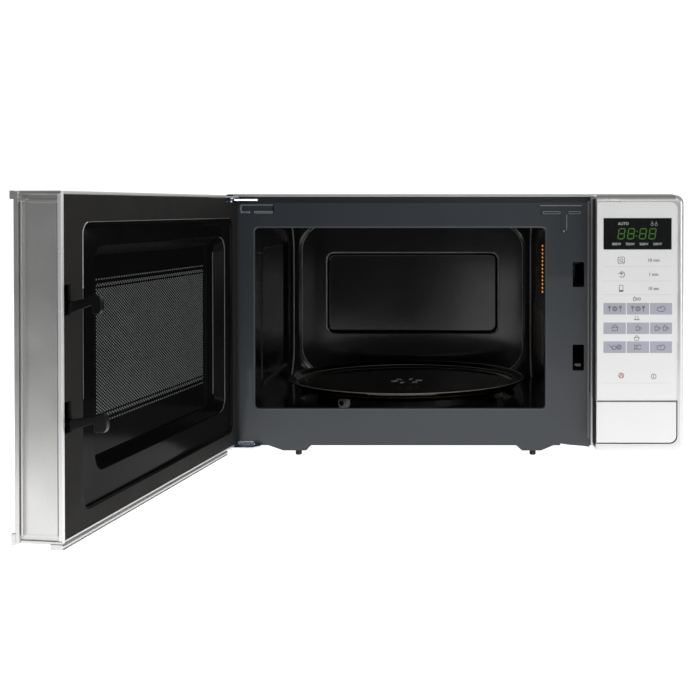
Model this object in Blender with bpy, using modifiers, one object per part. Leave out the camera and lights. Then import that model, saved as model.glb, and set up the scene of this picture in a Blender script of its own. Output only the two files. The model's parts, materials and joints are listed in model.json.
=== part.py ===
"""Countertop microwave oven, as the separate pieces it is assembled from.

The cabinet stands on four rubber feet. Its door hangs on two hinge pins at the left and is shown open,
and a control panel with a door button stands at the right. Run with blender --background --python part.py.

Every shape is drawn in millimetres in the cabinet's own frame and made in metres: X runs from the
cabinet's left side, Y from the front plate to the rear, and Z up from the soles of the feet.
"""

import math

import bmesh
import bpy
from mathutils import Matrix, Vector

MM = 0.001

# Driving dimensions, in millimetres
CABINET_WIDTH, CABINET_DEPTH, CABINET_HEIGHT = 443.0, 305.0, 258.0
FRONT_DEPTH = 35.0  # thickness of the door and of the control panel
GAP = 0.3  # clearance between neighbouring pieces
SHEET = 0.8  # sheet steel
PAN_BOTTOM = 12.7
PLATE_BOTTOM, PLATE_STEP = 17.0, 249.4  # the front plate steps back above PLATE_STEP
COVER_RADIUS = 6.0

OPENING = (30.8, 48.9, 314.3, 225.3)  # left, bottom, right, top of the oven's mouth
CAVITY = (30.0, 44.0, 315.1, 225.7)  # left, floor, right, ceiling inside the liner
CAVITY_BACK = 286.0
CAVITY_CORNER = 8.0
DISH_RADIUS, DISH_FLOOR = 118.0, 39.5

TURNTABLE = (172.6, 136.0)  # centre of the turntable
PLATE_RADIUS, PLATE_UNDERSIDE, RIM_TOP = 127.5, 52.3, 62.5
ROLLER_RADIUS, ROLLER_TRACK, ROLLER_WIDTH = 6.1, 102.0, 6.0
FIRST_ROLLER_ANGLE = math.radians(-126)

HINGE = (8.7, -7.5)  # door axis
HINGE_RADIUS = 7.0  # the door's end turns within this distance of its axis
DOOR_OPEN = math.radians(99)
PIN_RADIUS = 2.9
DOOR_RIGHT, DOOR_BOTTOM, DOOR_TOP = 358.4, 14.6, 256.9
DOOR_BACK = -0.5  # inner face of the closed door
DOOR_NOTCH_TOP, DOOR_NOTCH_RIGHT, DOOR_NOTCH_FRONT = 250.3, 38.0, -16.5
DOOR_GLASS = (24.0, 28.0, 336.0, 242.0)
CHOKE_OPENING = (20.0, 30.0, 326.0, 235.0)  # glossy recess of the door's inner face
DOOR_WINDOW = (39.0, 55.0, 298.0, 216.0)
LATCH_X = (344.4, 349.4)
LATCH_SLOTS_DOOR = ((90.1, 111.6), (171.4, 192.2))  # bottom and top of each slot
LATCH_SLOTS_PLATE = ((86.2, 111.4), (167.6, 191.9))
HOOK_REACH = (28.5, 25.0)

PANEL = (359.4, 14.1, 443.0, 256.9)
PANEL_RADIUS = 8.0
KEYPAD = (360.4, 62.6, 436.6, 250.2)
DISPLAY = (366.5, 205.2, 431.0, 235.2)
BUTTON = (359.9, 22.2, 436.1, 61.4)
BUTTON_BACK = -23.0  # rear edge of the button's cap at rest; it travels 5.5
HOOK_FOOT = 90.2  # underside of the lower hook when the door is shut
LEVER_AXIS = (7.0, 82.0)  # Y and Z of the opening lever's axle
# Name, left side, front face, underside, and the plunger's X; the hooks stop just short of the plungers
SWITCHES = (
    ("primary", 346.5, 30.6, 88.0, 349.6),
    ("monitor", 340.0, 30.6, 88.0, 344.4),
    ("secondary", 346.5, 27.1, 168.0, 349.6),
)

FAN = (379.0, 178.0)  # X and Z of the fan's axis
FAN_RADIUS = 50.0
FEET = ((71.0, 20.0), (303.0, 20.0), (50.0, 280.0), (400.0, 280.0))
FOOT_TOP = 7.3


# ------------------------------------------------------------------ materials


def material(name, colour, roughness, metallic=0.0, alpha=1.0):
    made = bpy.data.materials.new(name)
    made.use_nodes = True
    shader = made.node_tree.nodes["Principled BSDF"]
    shader.inputs["Base Color"].default_value = (*colour, 1.0)
    shader.inputs["Roughness"].default_value = roughness
    shader.inputs["Metallic"].default_value = metallic
    shader.inputs["Alpha"].default_value = alpha
    return made


def clear_scene():
    for old in list(bpy.data.objects):
        bpy.data.objects.remove(old)


clear_scene()
PARTS = bpy.data.collections.new("microwave_oven")
CUTTERS = bpy.data.collections.new("cutters")
for group in (PARTS, CUTTERS):
    bpy.context.scene.collection.children.link(group)

PLATE_PAINT = material("plate_paint", (0.065, 0.072, 0.08), 0.45)
COVER_PAINT = material("cover_paint", (0.62, 0.62, 0.61), 0.4, 0.3)
ENAMEL = material("black_enamel", (0.006, 0.006, 0.006), 0.15)
ZINC = material("zinc_plate", (0.62, 0.66, 0.7), 0.35, 0.9)
SILVER_PLASTIC = material("silver_plastic", (0.62, 0.62, 0.61), 0.35, 0.25)
WHITE_SILVER = material("white_silver", (0.82, 0.82, 0.82), 0.4, 0.1)
MATT_BLACK = material("matt_black", (0.022, 0.021, 0.02), 0.6)
GLOSS_BLACK = material("gloss_black", (0.004, 0.004, 0.004), 0.08)
GLASS = material("glass", (0.8, 0.83, 0.82), 0.05, 0.0, 0.35)
SMOKED = material("smoked_window", (0.02, 0.02, 0.02), 0.06, 0.0, 0.6)
NYLON = material("white_nylon", (0.8, 0.79, 0.76), 0.45)
RUBBER = material("rubber", (0.02, 0.02, 0.02), 0.8)
COPPER = material("copper_winding", (0.55, 0.22, 0.08), 0.4, 0.6)
STEEL = material("steel", (0.5, 0.5, 0.5), 0.35, 0.9)
ALUMINIUM = material("aluminium", (0.75, 0.75, 0.76), 0.35, 0.9)
CIRCUIT_BOARD = material("circuit_board", (0.45, 0.33, 0.16), 0.6)
MICA = material("mica", (0.42, 0.38, 0.32), 0.5)


# ------------------------------------------------------------------ shapes


def baked(shape, tidy=True):
    """The evaluated mesh of a scratch object, which is then removed."""
    bpy.context.view_layer.update()
    source = shape.evaluated_get(bpy.context.evaluated_depsgraph_get())
    mesh = bpy.data.meshes.new_from_object(source)
    bpy.data.objects.remove(shape)
    if tidy:
        bm = bmesh.new()
        bm.from_mesh(mesh)
        bmesh.ops.remove_doubles(bm, verts=bm.verts, dist=1e-6)
        bmesh.ops.recalc_face_normals(bm, faces=bm.faces)
        bm.to_mesh(mesh)
        bm.free()
    return mesh


def scratch(data):
    shape = bpy.data.objects.new("scratch", data)
    bpy.context.scene.collection.objects.link(shape)
    return shape


def box(low, high):
    """A box between two corners."""
    size = [(b - a) * MM for a, b in zip(low, high)]
    middle = [(a + b) / 2 * MM for a, b in zip(low, high)]
    bm = bmesh.new()
    bmesh.ops.create_cube(bm, size=1.0, matrix=Matrix.Translation(middle) @ Matrix.Diagonal((*size, 1)))
    mesh = bpy.data.meshes.new("box")
    bm.to_mesh(mesh)
    bm.free()
    return mesh


def together(*meshes):
    """Several separate meshes as one, for cutters that do not touch each other."""
    bm = bmesh.new()
    for mesh in meshes:
        bm.from_mesh(mesh)
    joined = bpy.data.meshes.new("together")
    bm.to_mesh(joined)
    bm.free()
    return joined


def rod(start, end, radius, end_radius=None, segments=24):
    """A cylinder, or a cone, from one point to another."""
    start, end = Vector(start) * MM, Vector(end) * MM
    along = end - start
    place = Matrix.Translation((start + end) / 2) @ along.to_track_quat("Z", "Y").to_matrix().to_4x4()
    bm = bmesh.new()
    bmesh.ops.create_cone(
        bm,
        cap_ends=True,
        segments=segments,
        radius1=radius * MM,
        radius2=(radius if end_radius is None else end_radius) * MM,
        depth=along.length,
        matrix=place,
    )
    mesh = bpy.data.meshes.new("rod")
    bm.to_mesh(mesh)
    bm.free()
    return mesh


# Turns a flat outline so that it is extruded along the named axis: its first number runs along the
# first of the other two axes, and its second along the second.
ACROSS = {
    "x": Matrix(((0, 0, 1, 0), (1, 0, 0, 0), (0, 1, 0, 0), (0, 0, 0, 1))),
    "y": Matrix(((1, 0, 0, 0), (0, 0, -1, 0), (0, 1, 0, 0), (0, 0, 0, 1))),
    "z": Matrix.Identity(4),
}


def prism(outline, axis, low, high):
    """A flat outline extruded along an axis, from low to high."""
    curve = bpy.data.curves.new("outline", "CURVE")
    curve.dimensions = "2D"
    curve.fill_mode = "BOTH"
    curve.extrude = (high - low) / 2 * MM
    spline = curve.splines.new("POLY")
    spline.points.add(len(outline) - 1)
    for point, (a, b) in zip(spline.points, outline):
        point.co = (a * MM, b * MM, 0, 1)
    spline.use_cyclic_u = True
    mesh = baked(scratch(curve))
    mesh.transform(ACROSS[axis])
    shift = Vector([(low + high) / 2 * MM if name == axis else 0 for name in "xyz"])
    mesh.transform(Matrix.Translation(shift))
    return mesh


def arc(centre, radius, start, end, steps):
    """Points of an arc, angles in degrees."""
    turns = [math.radians(start + (end - start) * i / steps) for i in range(steps + 1)]
    return [(centre[0] + radius * math.cos(t), centre[1] + radius * math.sin(t)) for t in turns]


def rounded(rectangle, radius, steps=4):
    """A rectangle (left, bottom, right, top) with rounded corners.

    radius is one number, or four: bottom right, top right, top left, bottom left.
    """
    left, bottom, right, top = rectangle
    radii = radius if isinstance(radius, tuple) else (radius,) * 4
    corners = ((right, bottom, -90), (right, top, 0), (left, top, 90), (left, bottom, 180))
    points = []
    for r, (x, z, start) in zip(radii, corners):
        centre = (x - r if x == right else x + r, z + r if z == bottom else z - r)
        points += arc(centre, r, start, start + 90, steps) if r else [(x, z)]
    return points


def grown(rectangle, by):
    left, bottom, right, top = rectangle
    return (left - by, bottom - by, right + by, top + by)


def shifted(rectangle_box, by):
    return tuple(value + by for value in rectangle_box)


def turned(profile, centre=(0.0, 0.0), segments=32, ring=False):
    """A profile of (radius, height) points turned about a vertical axis."""
    mesh = bpy.data.meshes.new("profile")
    points = [(r * MM, 0, z * MM) for r, z in profile]
    edges = [(i, i + 1) for i in range(len(points) - 1)]
    if ring:
        edges.append((len(points) - 1, 0))
    mesh.from_pydata(points, edges, [])
    shape = scratch(mesh)
    screw = shape.modifiers.new("Screw", "SCREW")
    screw.axis = "Z"
    screw.steps = screw.render_steps = segments
    screw.use_merge_vertices = True
    screw.merge_threshold = 1e-6
    made = baked(shape)
    made.transform(Matrix.Translation((centre[0] * MM, centre[1] * MM, 0)))
    return made


def shell(mesh, axis, at, thickness, outward=False):
    """A closed mesh made a shell: its face at one coordinate is opened, the rest given a thickness."""
    index = "xyz".index(axis)
    bm = bmesh.new()
    bm.from_mesh(mesh)
    on_side = [f for f in bm.faces if all(abs(v.co[index] - at * MM) < 1e-6 for v in f.verts)]
    bmesh.ops.delete(bm, geom=on_side, context="FACES")
    opened = bpy.data.meshes.new("opened")
    bm.to_mesh(opened)
    bm.free()
    shape = scratch(opened)
    solidify = shape.modifiers.new("Solidify", "SOLIDIFY")
    solidify.thickness = thickness * MM
    solidify.offset = 1.0 if outward else -1.0
    solidify.use_even_offset = True
    return baked(shape, tidy=False)


def combined(mesh, joined=(), cut=()):
    """A mesh with others joined to it and then cut from it, made at once."""
    shape = scratch(mesh)
    operands = []
    for operation, others in (("UNION", joined), ("DIFFERENCE", cut)):
        for other in others:
            operands.append(scratch(other))
            boolean = shape.modifiers.new("Boolean", "BOOLEAN")
            boolean.operation = operation
            boolean.object = operands[-1]
    mesh = baked(shape, tidy=False)
    for operand in operands:
        bpy.data.objects.remove(operand)
    return mesh


# ------------------------------------------------------------------ bodies


class Body:
    """Pieces that move together, on an empty that stands on their joint's axis."""

    def __init__(self, name, anchor=(0.0, 0.0, 0.0), parent=None, turn=0.0):
        self.anchor = Vector(anchor) * MM
        self.empty = bpy.data.objects.new(name + "_axis", None)
        bpy.context.scene.collection.objects.link(self.empty)
        self.empty.location = self.anchor
        if parent:
            self.empty.parent = parent.empty
            self.empty.location = self.anchor - parent.anchor
        self.empty.rotation_euler.z = turn

    def place(self, shape, collection):
        collection.objects.link(shape)
        shape.parent = self.empty
        shape.location = -self.anchor

    def piece(self, name, mesh, finish, joined=(), cut=()):
        """A piece: a base shape, what is joined to it and what is cut out of it."""
        shape = bpy.data.objects.new(name, mesh)
        mesh.name = name
        mesh.materials.clear()
        mesh.materials.append(finish)
        mesh.shade_smooth()
        mesh.set_sharp_from_angle(angle=math.radians(30))
        self.place(shape, PARTS)
        for operation, others in (("UNION", joined), ("DIFFERENCE", cut)):
            for other in others:
                operand = bpy.data.objects.new(name + "_cutter", other)
                operand.hide_render = True
                operand.display_type = "WIRE"
                self.place(operand, CUTTERS)
                boolean = shape.modifiers.new("Boolean", "BOOLEAN")
                boolean.operation = operation
                boolean.object = operand
        return shape


def coil(body, name, start, end, radius, wire, turns, finish):
    """A helical spring between two points."""
    start, end = Vector(start) * MM, Vector(end) * MM
    turn = (end - start).to_track_quat("Z", "Y").to_matrix()
    per_turn = 8
    curve = bpy.data.curves.new(name, "CURVE")
    curve.dimensions = "3D"
    curve.bevel_depth = wire / 2 * MM
    curve.bevel_resolution = 1
    curve.use_fill_caps = True
    spline = curve.splines.new("POLY")
    count = turns * per_turn + 1
    spline.points.add(count - 1)
    for i, point in enumerate(spline.points):
        angle = 2 * math.pi * i / per_turn
        across = turn @ Vector((math.cos(angle), math.sin(angle), 0)) * radius * MM
        point.co = (*(start.lerp(end, i / (count - 1)) + across), 1)
    curve.materials.append(finish)
    body.place(bpy.data.objects.new(name, curve), PARTS)


# ------------------------------------------------------------------ cabinet


def front_plate(cabinet):
    """The painted steel face: mouth, latch slots, pressed bars, and a top edge that steps back."""
    inset, step_back, press_depth = 1.1, 6.0, 1.8
    face = (inset, PLATE_BOTTOM, CABINET_WIDTH - inset, PLATE_STEP)
    band = (inset, PLATE_STEP - SHEET, CABINET_WIDTH - inset, 256.6)
    bars = ((309.0, 238.5, 350.0, 247.0), (329.0, 221.0, 335.2, 240.0), (17.0, 239.3, 49.8, 247.6))
    slots = [box((341.0, -1, low), (351.8, 2, high)) for low, high in LATCH_SLOTS_PLATE]
    notch = [(0, 249.9), (35, 249.9), (41, 258), (0, 258)]
    backs = [prism(rounded(grown(bar, 1), 2), "y", 0.4, press_depth + SHEET) for bar in bars]
    backing = combined(backs[0], joined=[backs[1]])
    presses = [prism(rounded(bar, 1.5), "y", -1, press_depth) for bar in bars]
    cabinet.piece(
        "front_plate",
        prism(rounded(face, 0.0), "y", 0, SHEET),
        PLATE_PAINT,
        joined=[
            box((inset, 0, PLATE_STEP - SHEET), (CABINET_WIDTH - inset, step_back, PLATE_STEP)),
            prism(rounded(band, (0, 5, 5, 0)), "y", step_back - SHEET, step_back),
            together(backing, backs[2]),
        ],
        cut=[
            prism(rounded(OPENING, 3.5), "y", -1, 2),
            together(
                *slots,
                box((372, -1, 76), (436, 2, 236)),
                box((378, -1, 46), (394, 2, 61)),
                prism(notch, "y", 3, 8),
            ),
            combined(presses[0], joined=[presses[1]]),
            presses[2],
        ],
    )


def foot_bulge(left, low_left, low_right, right, front, back):
    """The pressed foot of the base pan: its solid, and the hollow inside it."""
    low, rise = FOOT_TOP + GAP, PAN_BOTTOM + SHEET
    outer = [
        left, (low_left, low), (low_right, low), right,
        (right[0], max(right[1], rise)), (left[0], max(left[1], rise)),
    ]
    inner = [
        (left[0] + 1.2, left[1] + SHEET), (low_left + 0.4, low + SHEET), (low_right - 0.4, low + SHEET),
        (right[0] - 1.2, right[1] + SHEET), (right[0] - 1.2, 20), (left[0] + 1.2, 20),
    ]
    return prism(outer, "y", front, back), prism(inner, "y", front + SHEET, back - SHEET)


def base_pan(cabinet):
    tray = shell(box((1.2, 1.4, PAN_BOTTOM), (441.8, 300.4, 22)), "z", 22, SHEET)
    rise = PAN_BOTTOM + SHEET / 2
    bulges = (
        foot_bulge((31, 17.2), 58.4, 80.8, (86, rise), 1.4, 46),
        foot_bulge((285.4, rise), 291.6, 310.1, (328.6, 15.3), 1.4, 46),
        foot_bulge((33, rise), 39, 61, (67, rise), 262, 298),
        foot_bulge((383, rise), 389, 411, (417, rise), 262, 298),
    )
    slots = [box((350 + 14 * i, 60, 10), (356 + 14 * i, 94, 15)) for i in range(5)]
    slots += [box((110 + 14 * i, 220, 10), (116 + 14 * i, 260, 15)) for i in range(6)]
    cabinet.piece(
        "base_pan",
        tray,
        PLATE_PAINT,
        joined=[together(*(outer for outer, _ in bulges))],
        cut=[
            together(*(inner for _, inner in bulges)),
            together(*slots, box((0, 0, 10), (30.6, 24, 17.3)), box((329, 0, 10), (352, 24, 15.3))),
        ],
    )


def cavity_liner(cabinet):
    """The enamelled oven box, open to the front, with pressed panels and a dish for the rollers."""
    left, floor, right, ceiling = CAVITY
    front = SHEET + GAP
    r = CAVITY_CORNER
    plan = [(left, front), (right, front)]
    plan += arc((right - r, CAVITY_BACK - r), r, 0, 90, 4)
    plan += arc((left + r, CAVITY_BACK - r), r, 90, 180, 4)
    dish = rod((*TURNTABLE, DISH_FLOOR), (*TURNTABLE, floor + 6), DISH_RADIUS, segments=36)
    back_press = prism(rounded((68.5, 92.7, 276.6, 190.3), 9), "y", CAVITY_BACK - 6, CAVITY_BACK + 3)
    side_press = prism(rounded((49, 60, 227, 206), 9), "x", left - 3, left + 6)
    inside = combined(prism(plan, "z", floor, ceiling), joined=[dish, back_press, side_press])
    lamp_holes = [
        rod((right - 2, 51 + 6 * i, 159 + 6 * j), (right + 3, 51 + 6 * i, 159 + 6 * j), 1.6, segments=6)
        for i in range(3)
        for j in range(8)
    ]
    vent_holes = [
        rod((left - 3, 34 + 6 * i, 136 + 6 * j), (left + 2, 34 + 6 * i, 136 + 6 * j), 1.6, segments=6)
        for i in range(2)
        for j in range(8)
    ]
    cabinet.piece(
        "cavity_liner",
        shell(inside, "y", front, SHEET, outward=True),
        ENAMEL,
        cut=[
            together(*lamp_holes, *vent_holes, box((right - 2, 62, 95), (right + 3, 180, 130))),
            rod((*TURNTABLE, DISH_FLOOR - 4), (*TURNTABLE, DISH_FLOOR + 4), 7),
        ],
    )
    cabinet.piece(
        "waveguide_cover",
        prism(rounded((46, 85, 200, 139), 3), "x", right - 0.9, right - GAP),
        MICA,
        cut=[rod((right - 3, 195, 134), (right + 2, 195, 134), 1.5, segments=12)],
    )


def outer_cover(cabinet):
    """The wrap-round steel cover: two sides and a top bent from one sheet, with air slots."""
    r, w, h = COVER_RADIUS, CABINET_WIDTH, CABINET_HEIGHT
    outline = [(0, PAN_BOTTOM + 1), *reversed(arc((r, h - r), r, 90, 180, 4))]
    outline += [*reversed(arc((w - r, h - r), r, 0, 90, 4)), (w, PAN_BOTTOM + 1)]
    inner = [(x + SHEET if x < w / 2 else x - SHEET, z) for x, z in (outline[0], outline[-1])]
    inside = [inner[0], *reversed(arc((r, h - r), r - SHEET, 90, 180, 4))]
    inside += [*reversed(arc((w - r, h - r), r - SHEET, 0, 90, 4)), inner[1]]
    left_slots = [
        box((-1, 190 + 40 * i, 70 + 10 * j), (2, 222 + 40 * i, 73 + 10 * j))
        for i in range(2)
        for j in range(10)
    ]
    right_slots = [
        box((w - 2, 70 + 40 * i, 40 + 10 * j), (w + 1, 102 + 40 * i, 43 + 10 * j))
        for i in range(2)
        for j in range(8)
    ]
    cabinet.piece(
        "outer_cover",
        prism(outline + inside[::-1], "y", 0.6, CABINET_DEPTH),
        COVER_PAINT,
        joined=[box((10, 0.6, 255.4), (w - 10, 1.4, h - SHEET / 2))],
        cut=[together(*left_slots, *right_slots)],
    )


def back_panel(cabinet):
    slots = [
        box((335 + 13 * i, 300, 132 + 34 * j), (339 + 13 * i, 303, 160 + 34 * j))
        for i in range(7)
        for j in range(3)
    ]
    cabinet.piece(
        "back_panel",
        prism(rounded((1.1, PAN_BOTTOM + GAP, CABINET_WIDTH - 1.1, 256.6), 4), "y", 300.8, 301.6),
        COVER_PAINT,
        cut=[together(*slots), rod((420, 298, 50), (420, 305, 50), 9)],
    )
    profile = [(5, 0), (8.6, 0), (8.6, 3.4), (11, 3.4), (11, 6), (7, 7.5), (5, 7.5)]
    bush = turned(profile, segments=24, ring=True)
    bush.transform(Matrix.Translation((0.42, 0.2983, 0.05)) @ Matrix.Rotation(math.radians(-90), 4, "X"))
    cabinet.piece("cord_inlet_bush", bush, RUBBER)


def feet(cabinet):
    names = ("foot_front_left", "foot_front_right", "foot_rear_left", "foot_rear_right")
    for name, place in zip(names, FEET):
        profile = [(0, FOOT_TOP), (3.15, FOOT_TOP), (3.15, 1.0), (2.4, 0), (0, 0)]
        cabinet.piece(name, turned(profile, place, segments=14), RUBBER)


def hinge_brackets(cabinet):
    """Zinc-plated brackets: an arm that reaches forward from the front plate, and its pin."""
    x, y = HINGE
    low_arm = [(3, 18), (3, -14), (30, -14), (37, -6), (37, 0.8), (29.5, 1.1), (29.5, 18)]
    low = (12.0, 13.6)
    cabinet.piece(
        "hinge_bracket_bottom",
        prism(low_arm, "z", *low),
        ZINC,
        joined=[box((4, 3.2, 13), (29, 4.8, 42))],
        cut=[rod((x, y, 11), (x, y, 15), PIN_RADIUS + GAP + 0.1)],
    )
    top_arm = [(3, 16), (3, -13.5), (14, -13.5), (34, -0.5), (34, 16)]
    top = (251.5, 253.1)
    cabinet.piece(
        "hinge_bracket_top",
        prism(top_arm, "z", *top),
        ZINC,
        joined=[box((4, 14, 229), (33, 15.6, 252))],
        cut=[rod((x, y, 250), (x, y, 255), PIN_RADIUS + GAP + 0.1)],
    )
    head = PIN_RADIUS + 1.8
    pins = (
        ("hinge_pin_bottom", low[0] - 1.3, low[0] - GAP, 25.0),
        ("hinge_pin_top", top[1] + 1.3, top[1] + GAP, 239.0),
    )
    for name, head_end, head_start, tip in pins:
        cabinet.piece(
            name,
            rod((x, y, head_end), (x, y, tip), PIN_RADIUS),
            ZINC,
            joined=[rod((x, y, head_end), (x, y, head_start), head)],
        )


# ------------------------------------------------------------------ turntable


def turntable(cabinet):
    """Motor under the floor, coupler, glass plate, and a ring with three rollers."""
    x, y = TURNTABLE
    cabinet.piece(
        "turntable_motor",
        rod((x, y, 20), (x, y, 37), 24.5, segments=32),
        ZINC,
        joined=[
            box((x - 33, y - 5, 34), (x + 33, y + 5, 37)),
            rod((x, y, 36), (x, y, 46.5), 3.0),
            box((x - 9, y + 22, 22), (x + 9, y + 33, 32)),
        ],
    )
    spinner = Body("turntable_spin", (x, y, 0), cabinet)
    arms = []
    for i in range(3):
        lobe = box((0, -2.5, 44), (13, 2.5, 50.5))
        lobe.transform(Matrix.Translation((x * MM, y * MM, 0)) @ Matrix.Rotation(2 * math.pi * i / 3, 4, "Z"))
        arms.append(lobe)
    spinner.piece(
        "turntable_coupler",
        rod((x, y, 42), (x, y, 50.5), 8),
        NYLON,
        joined=arms,
        cut=[rod((x, y, 40), (x, y, 47), 3.0 + GAP)],
    )
    bottom, rim = PLATE_UNDERSIDE, RIM_TOP
    profile = [
        (0, bottom + 4), (112, bottom + 4), (118, bottom + 5.2), (123, rim - 2), (PLATE_RADIUS - 1, rim),
        (PLATE_RADIUS, rim - 1), (PLATE_RADIUS, rim - 2.5), (119, bottom + 1), (114, bottom),
        (19, bottom), (18.5, bottom - 3), (15, bottom - 3), (14.5, bottom), (0, bottom),
    ]
    spinner.piece("turntable_plate", turned(profile, TURNTABLE, segments=44), GLASS)

    ring_body = Body("roller_ring_spin", (x, y, 0), cabinet)
    middle = DISH_FLOOR + GAP + ROLLER_RADIUS
    inner = ROLLER_TRACK - ROLLER_WIDTH / 2
    low, high = middle - 3.5, middle + 3.5
    band = [(inner - 7, low), (inner - 2, low), (inner - 2, high), (inner - 7, high)]
    stubs = []
    for i in range(3):
        turn = FIRST_ROLLER_ANGLE + 2 * math.pi * i / 3
        out = Vector((math.cos(turn), math.sin(turn), 0))
        hub = Vector((x, y, middle))
        outer = inner + ROLLER_WIDTH
        stubs.append(rod(hub + out * (inner - 4), hub + out * (outer + 1.5), 1.6, segments=12))
        stubs.append(rod(hub + out * (outer + GAP), hub + out * (outer + 1.5), 2.6, segments=12))
        wheel_body = Body(f"roller_{i + 1}_spin", hub + out * ROLLER_TRACK, ring_body)
        wheel_body.piece(
            f"roller_{i + 1}",
            rod(hub + out * (inner - 0.3), hub + out * outer, ROLLER_RADIUS, segments=28),
            NYLON,
            cut=[rod(hub + out * (inner - 3), hub + out * (outer + 3), 1.6 + GAP, segments=12)],
        )
    ring_body.piece("roller_ring", turned(band, TURNTABLE, segments=36, ring=True), NYLON, joined=stubs)


# ------------------------------------------------------------------ electrics


def lamp(cabinet):
    x, y = 331.0, 57.0
    duct = shell(box((316.2, 34, 148), (343.5, 84, 216)), "x", 316.2, 1.2)
    cabinet.piece("air_duct", duct, MATT_BLACK, cut=[box((318, 70, 152), (342, 90, 212))])
    cabinet.piece(
        "lamp_holder",
        rod((x, y, 149.8), (x, y, 163.5), 8.5),
        NYLON,
        joined=[box((x - 10, y - 10, 149.8), (x + 10, y + 10, 152.4))],
    )
    bulb = [
        (0, 204), (4, 203.2), (7.6, 200), (9.3, 195), (9.5, 189), (8, 181), (5.6, 174), (5, 163.8),
        (0, 163.8),
    ]
    cabinet.piece("lamp_bulb", turned(bulb, (x, y), segments=24), GLASS)


def magnetron(cabinet):
    """Waveguide duct against the oven wall, and the magnetron with its finned anode in a steel yoke."""
    left, right = 316.2, 344.0
    y, z = 120.0, 112.0
    duct = shell(box((left, 52, 82), (right, 204, 142)), "x", left, SHEET)
    cabinet.piece("waveguide", duct, ZINC, cut=[rod((right - 3, y, z), (right + 3, y, z), 11)])
    yoke = combined(
        box((346.5, y - 38, z - 28), (412, y + 38, z + 28)),
        cut=[box((348.3, y - 40, z - 26.2), (410.2, y + 40, z + 26.2))],
    )
    cabinet.piece(
        "magnetron_yoke",
        yoke,
        ZINC,
        joined=[
            box((right + GAP, y - 45, z - 35), (346.8, y + 45, z + 35)),
            box((365, y - 26, 60), (400, y + 26, z - 27)),
        ],
        cut=[rod((right - 2, y, z), (352, y, z), 11)],
    )
    fins = [box((360 + 10 * i, y - 34, z - 24), (360.8 + 10 * i, y + 34, z + 24)) for i in range(5)]
    cabinet.piece(
        "magnetron_anode",
        rod((349, y, z), (409.5, y, z), 19, segments=16),
        ALUMINIUM,
        joined=[together(*fins), rod((324, y, z), (352, y, z), 7.5, segments=16)],
    )
    cabinet.piece(
        "thermal_cutout",
        rod((255, 110, 226.8), (255, 110, 236), 9),
        MATT_BLACK,
        joined=[box((248, 107, 234), (250, 113, 244)), box((260, 107, 234), (262, 113, 244))],
    )


def transformer(cabinet):
    x, front, back, bottom, top = 387.5, 190.0, 240.0, 16.0, 78.0
    window_low, window_high = 28.0, 66.0
    core = combined(
        box((x - 42.5, front, bottom), (x + 42.5, back, top)),
        cut=[
            box((x - 28.5, front - 5, window_low), (x - 14.5, back + 5, window_high)),
            box((x + 14.5, front - 5, window_low), (x + 28.5, back + 5, window_high)),
        ],
    )
    base = box((x - 50, front + 4, 13.8), (x + 50, back - 4, bottom + 1))
    cabinet.piece("transformer_core", core, STEEL, joined=[base])
    outer = rounded((x - 28.1, front - 14, x + 28.1, back + 14), 9, 3)
    split = prism(rounded((x - 32, front - 18, x + 32, back + 18), 9, 3), "z", 45.2, 46.4)
    kept = prism(rounded((x - 26, front - 12, x + 26, back + 12), 8, 3), "z", 44, 47.6)
    cabinet.piece(
        "transformer_windings",
        prism(outer, "z", window_low + 0.4, window_high - 0.4),
        COPPER,
        cut=[
            combined(split, cut=[kept]),
            box((x - 14.9, front - 0.4, 20), (x + 14.9, back + 0.4, 80)),
        ],
    )


def capacitor(cabinet):
    x, z = 385.0, 34.5
    can = (x - 25, z - 16, x + 25, z + 16)
    cabinet.piece(
        "capacitor",
        prism(rounded(can, 15.9, 5), "y", 70, 150),
        ALUMINIUM,
        joined=[box((x - 12, 62, z - 4), (x - 10, 72, z + 4)), box((x + 10, 62, z - 4), (x + 12, 72, z + 4))],
    )
    strap = combined(
        prism(rounded(grown(can, 1.6), 17.4, 5), "y", 100, 118),
        cut=[prism(rounded(grown(can, GAP + 0.1), 16.2, 5), "y", 98, 120)],
    )
    tab = (box((x - 38, 100, 13.8), (x - 20, 118, 15.4)), box((x - 26.6, 100, 14), (x - 25.4, 118, 34)))
    cabinet.piece("capacitor_clamp", strap, ZINC, joined=tab)
    cabinet.piece(
        "high_voltage_diode",
        rod((420, 95, 24), (420, 115, 24), 4),
        MATT_BLACK,
        joined=[box((418, 112, 23.4), (422, 128, 24.6)), rod((420, 126, 21), (420, 126, 27), 5)],
        cut=[rod((420, 126, 19), (420, 126, 29), 2, segments=12)],
    )


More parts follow.
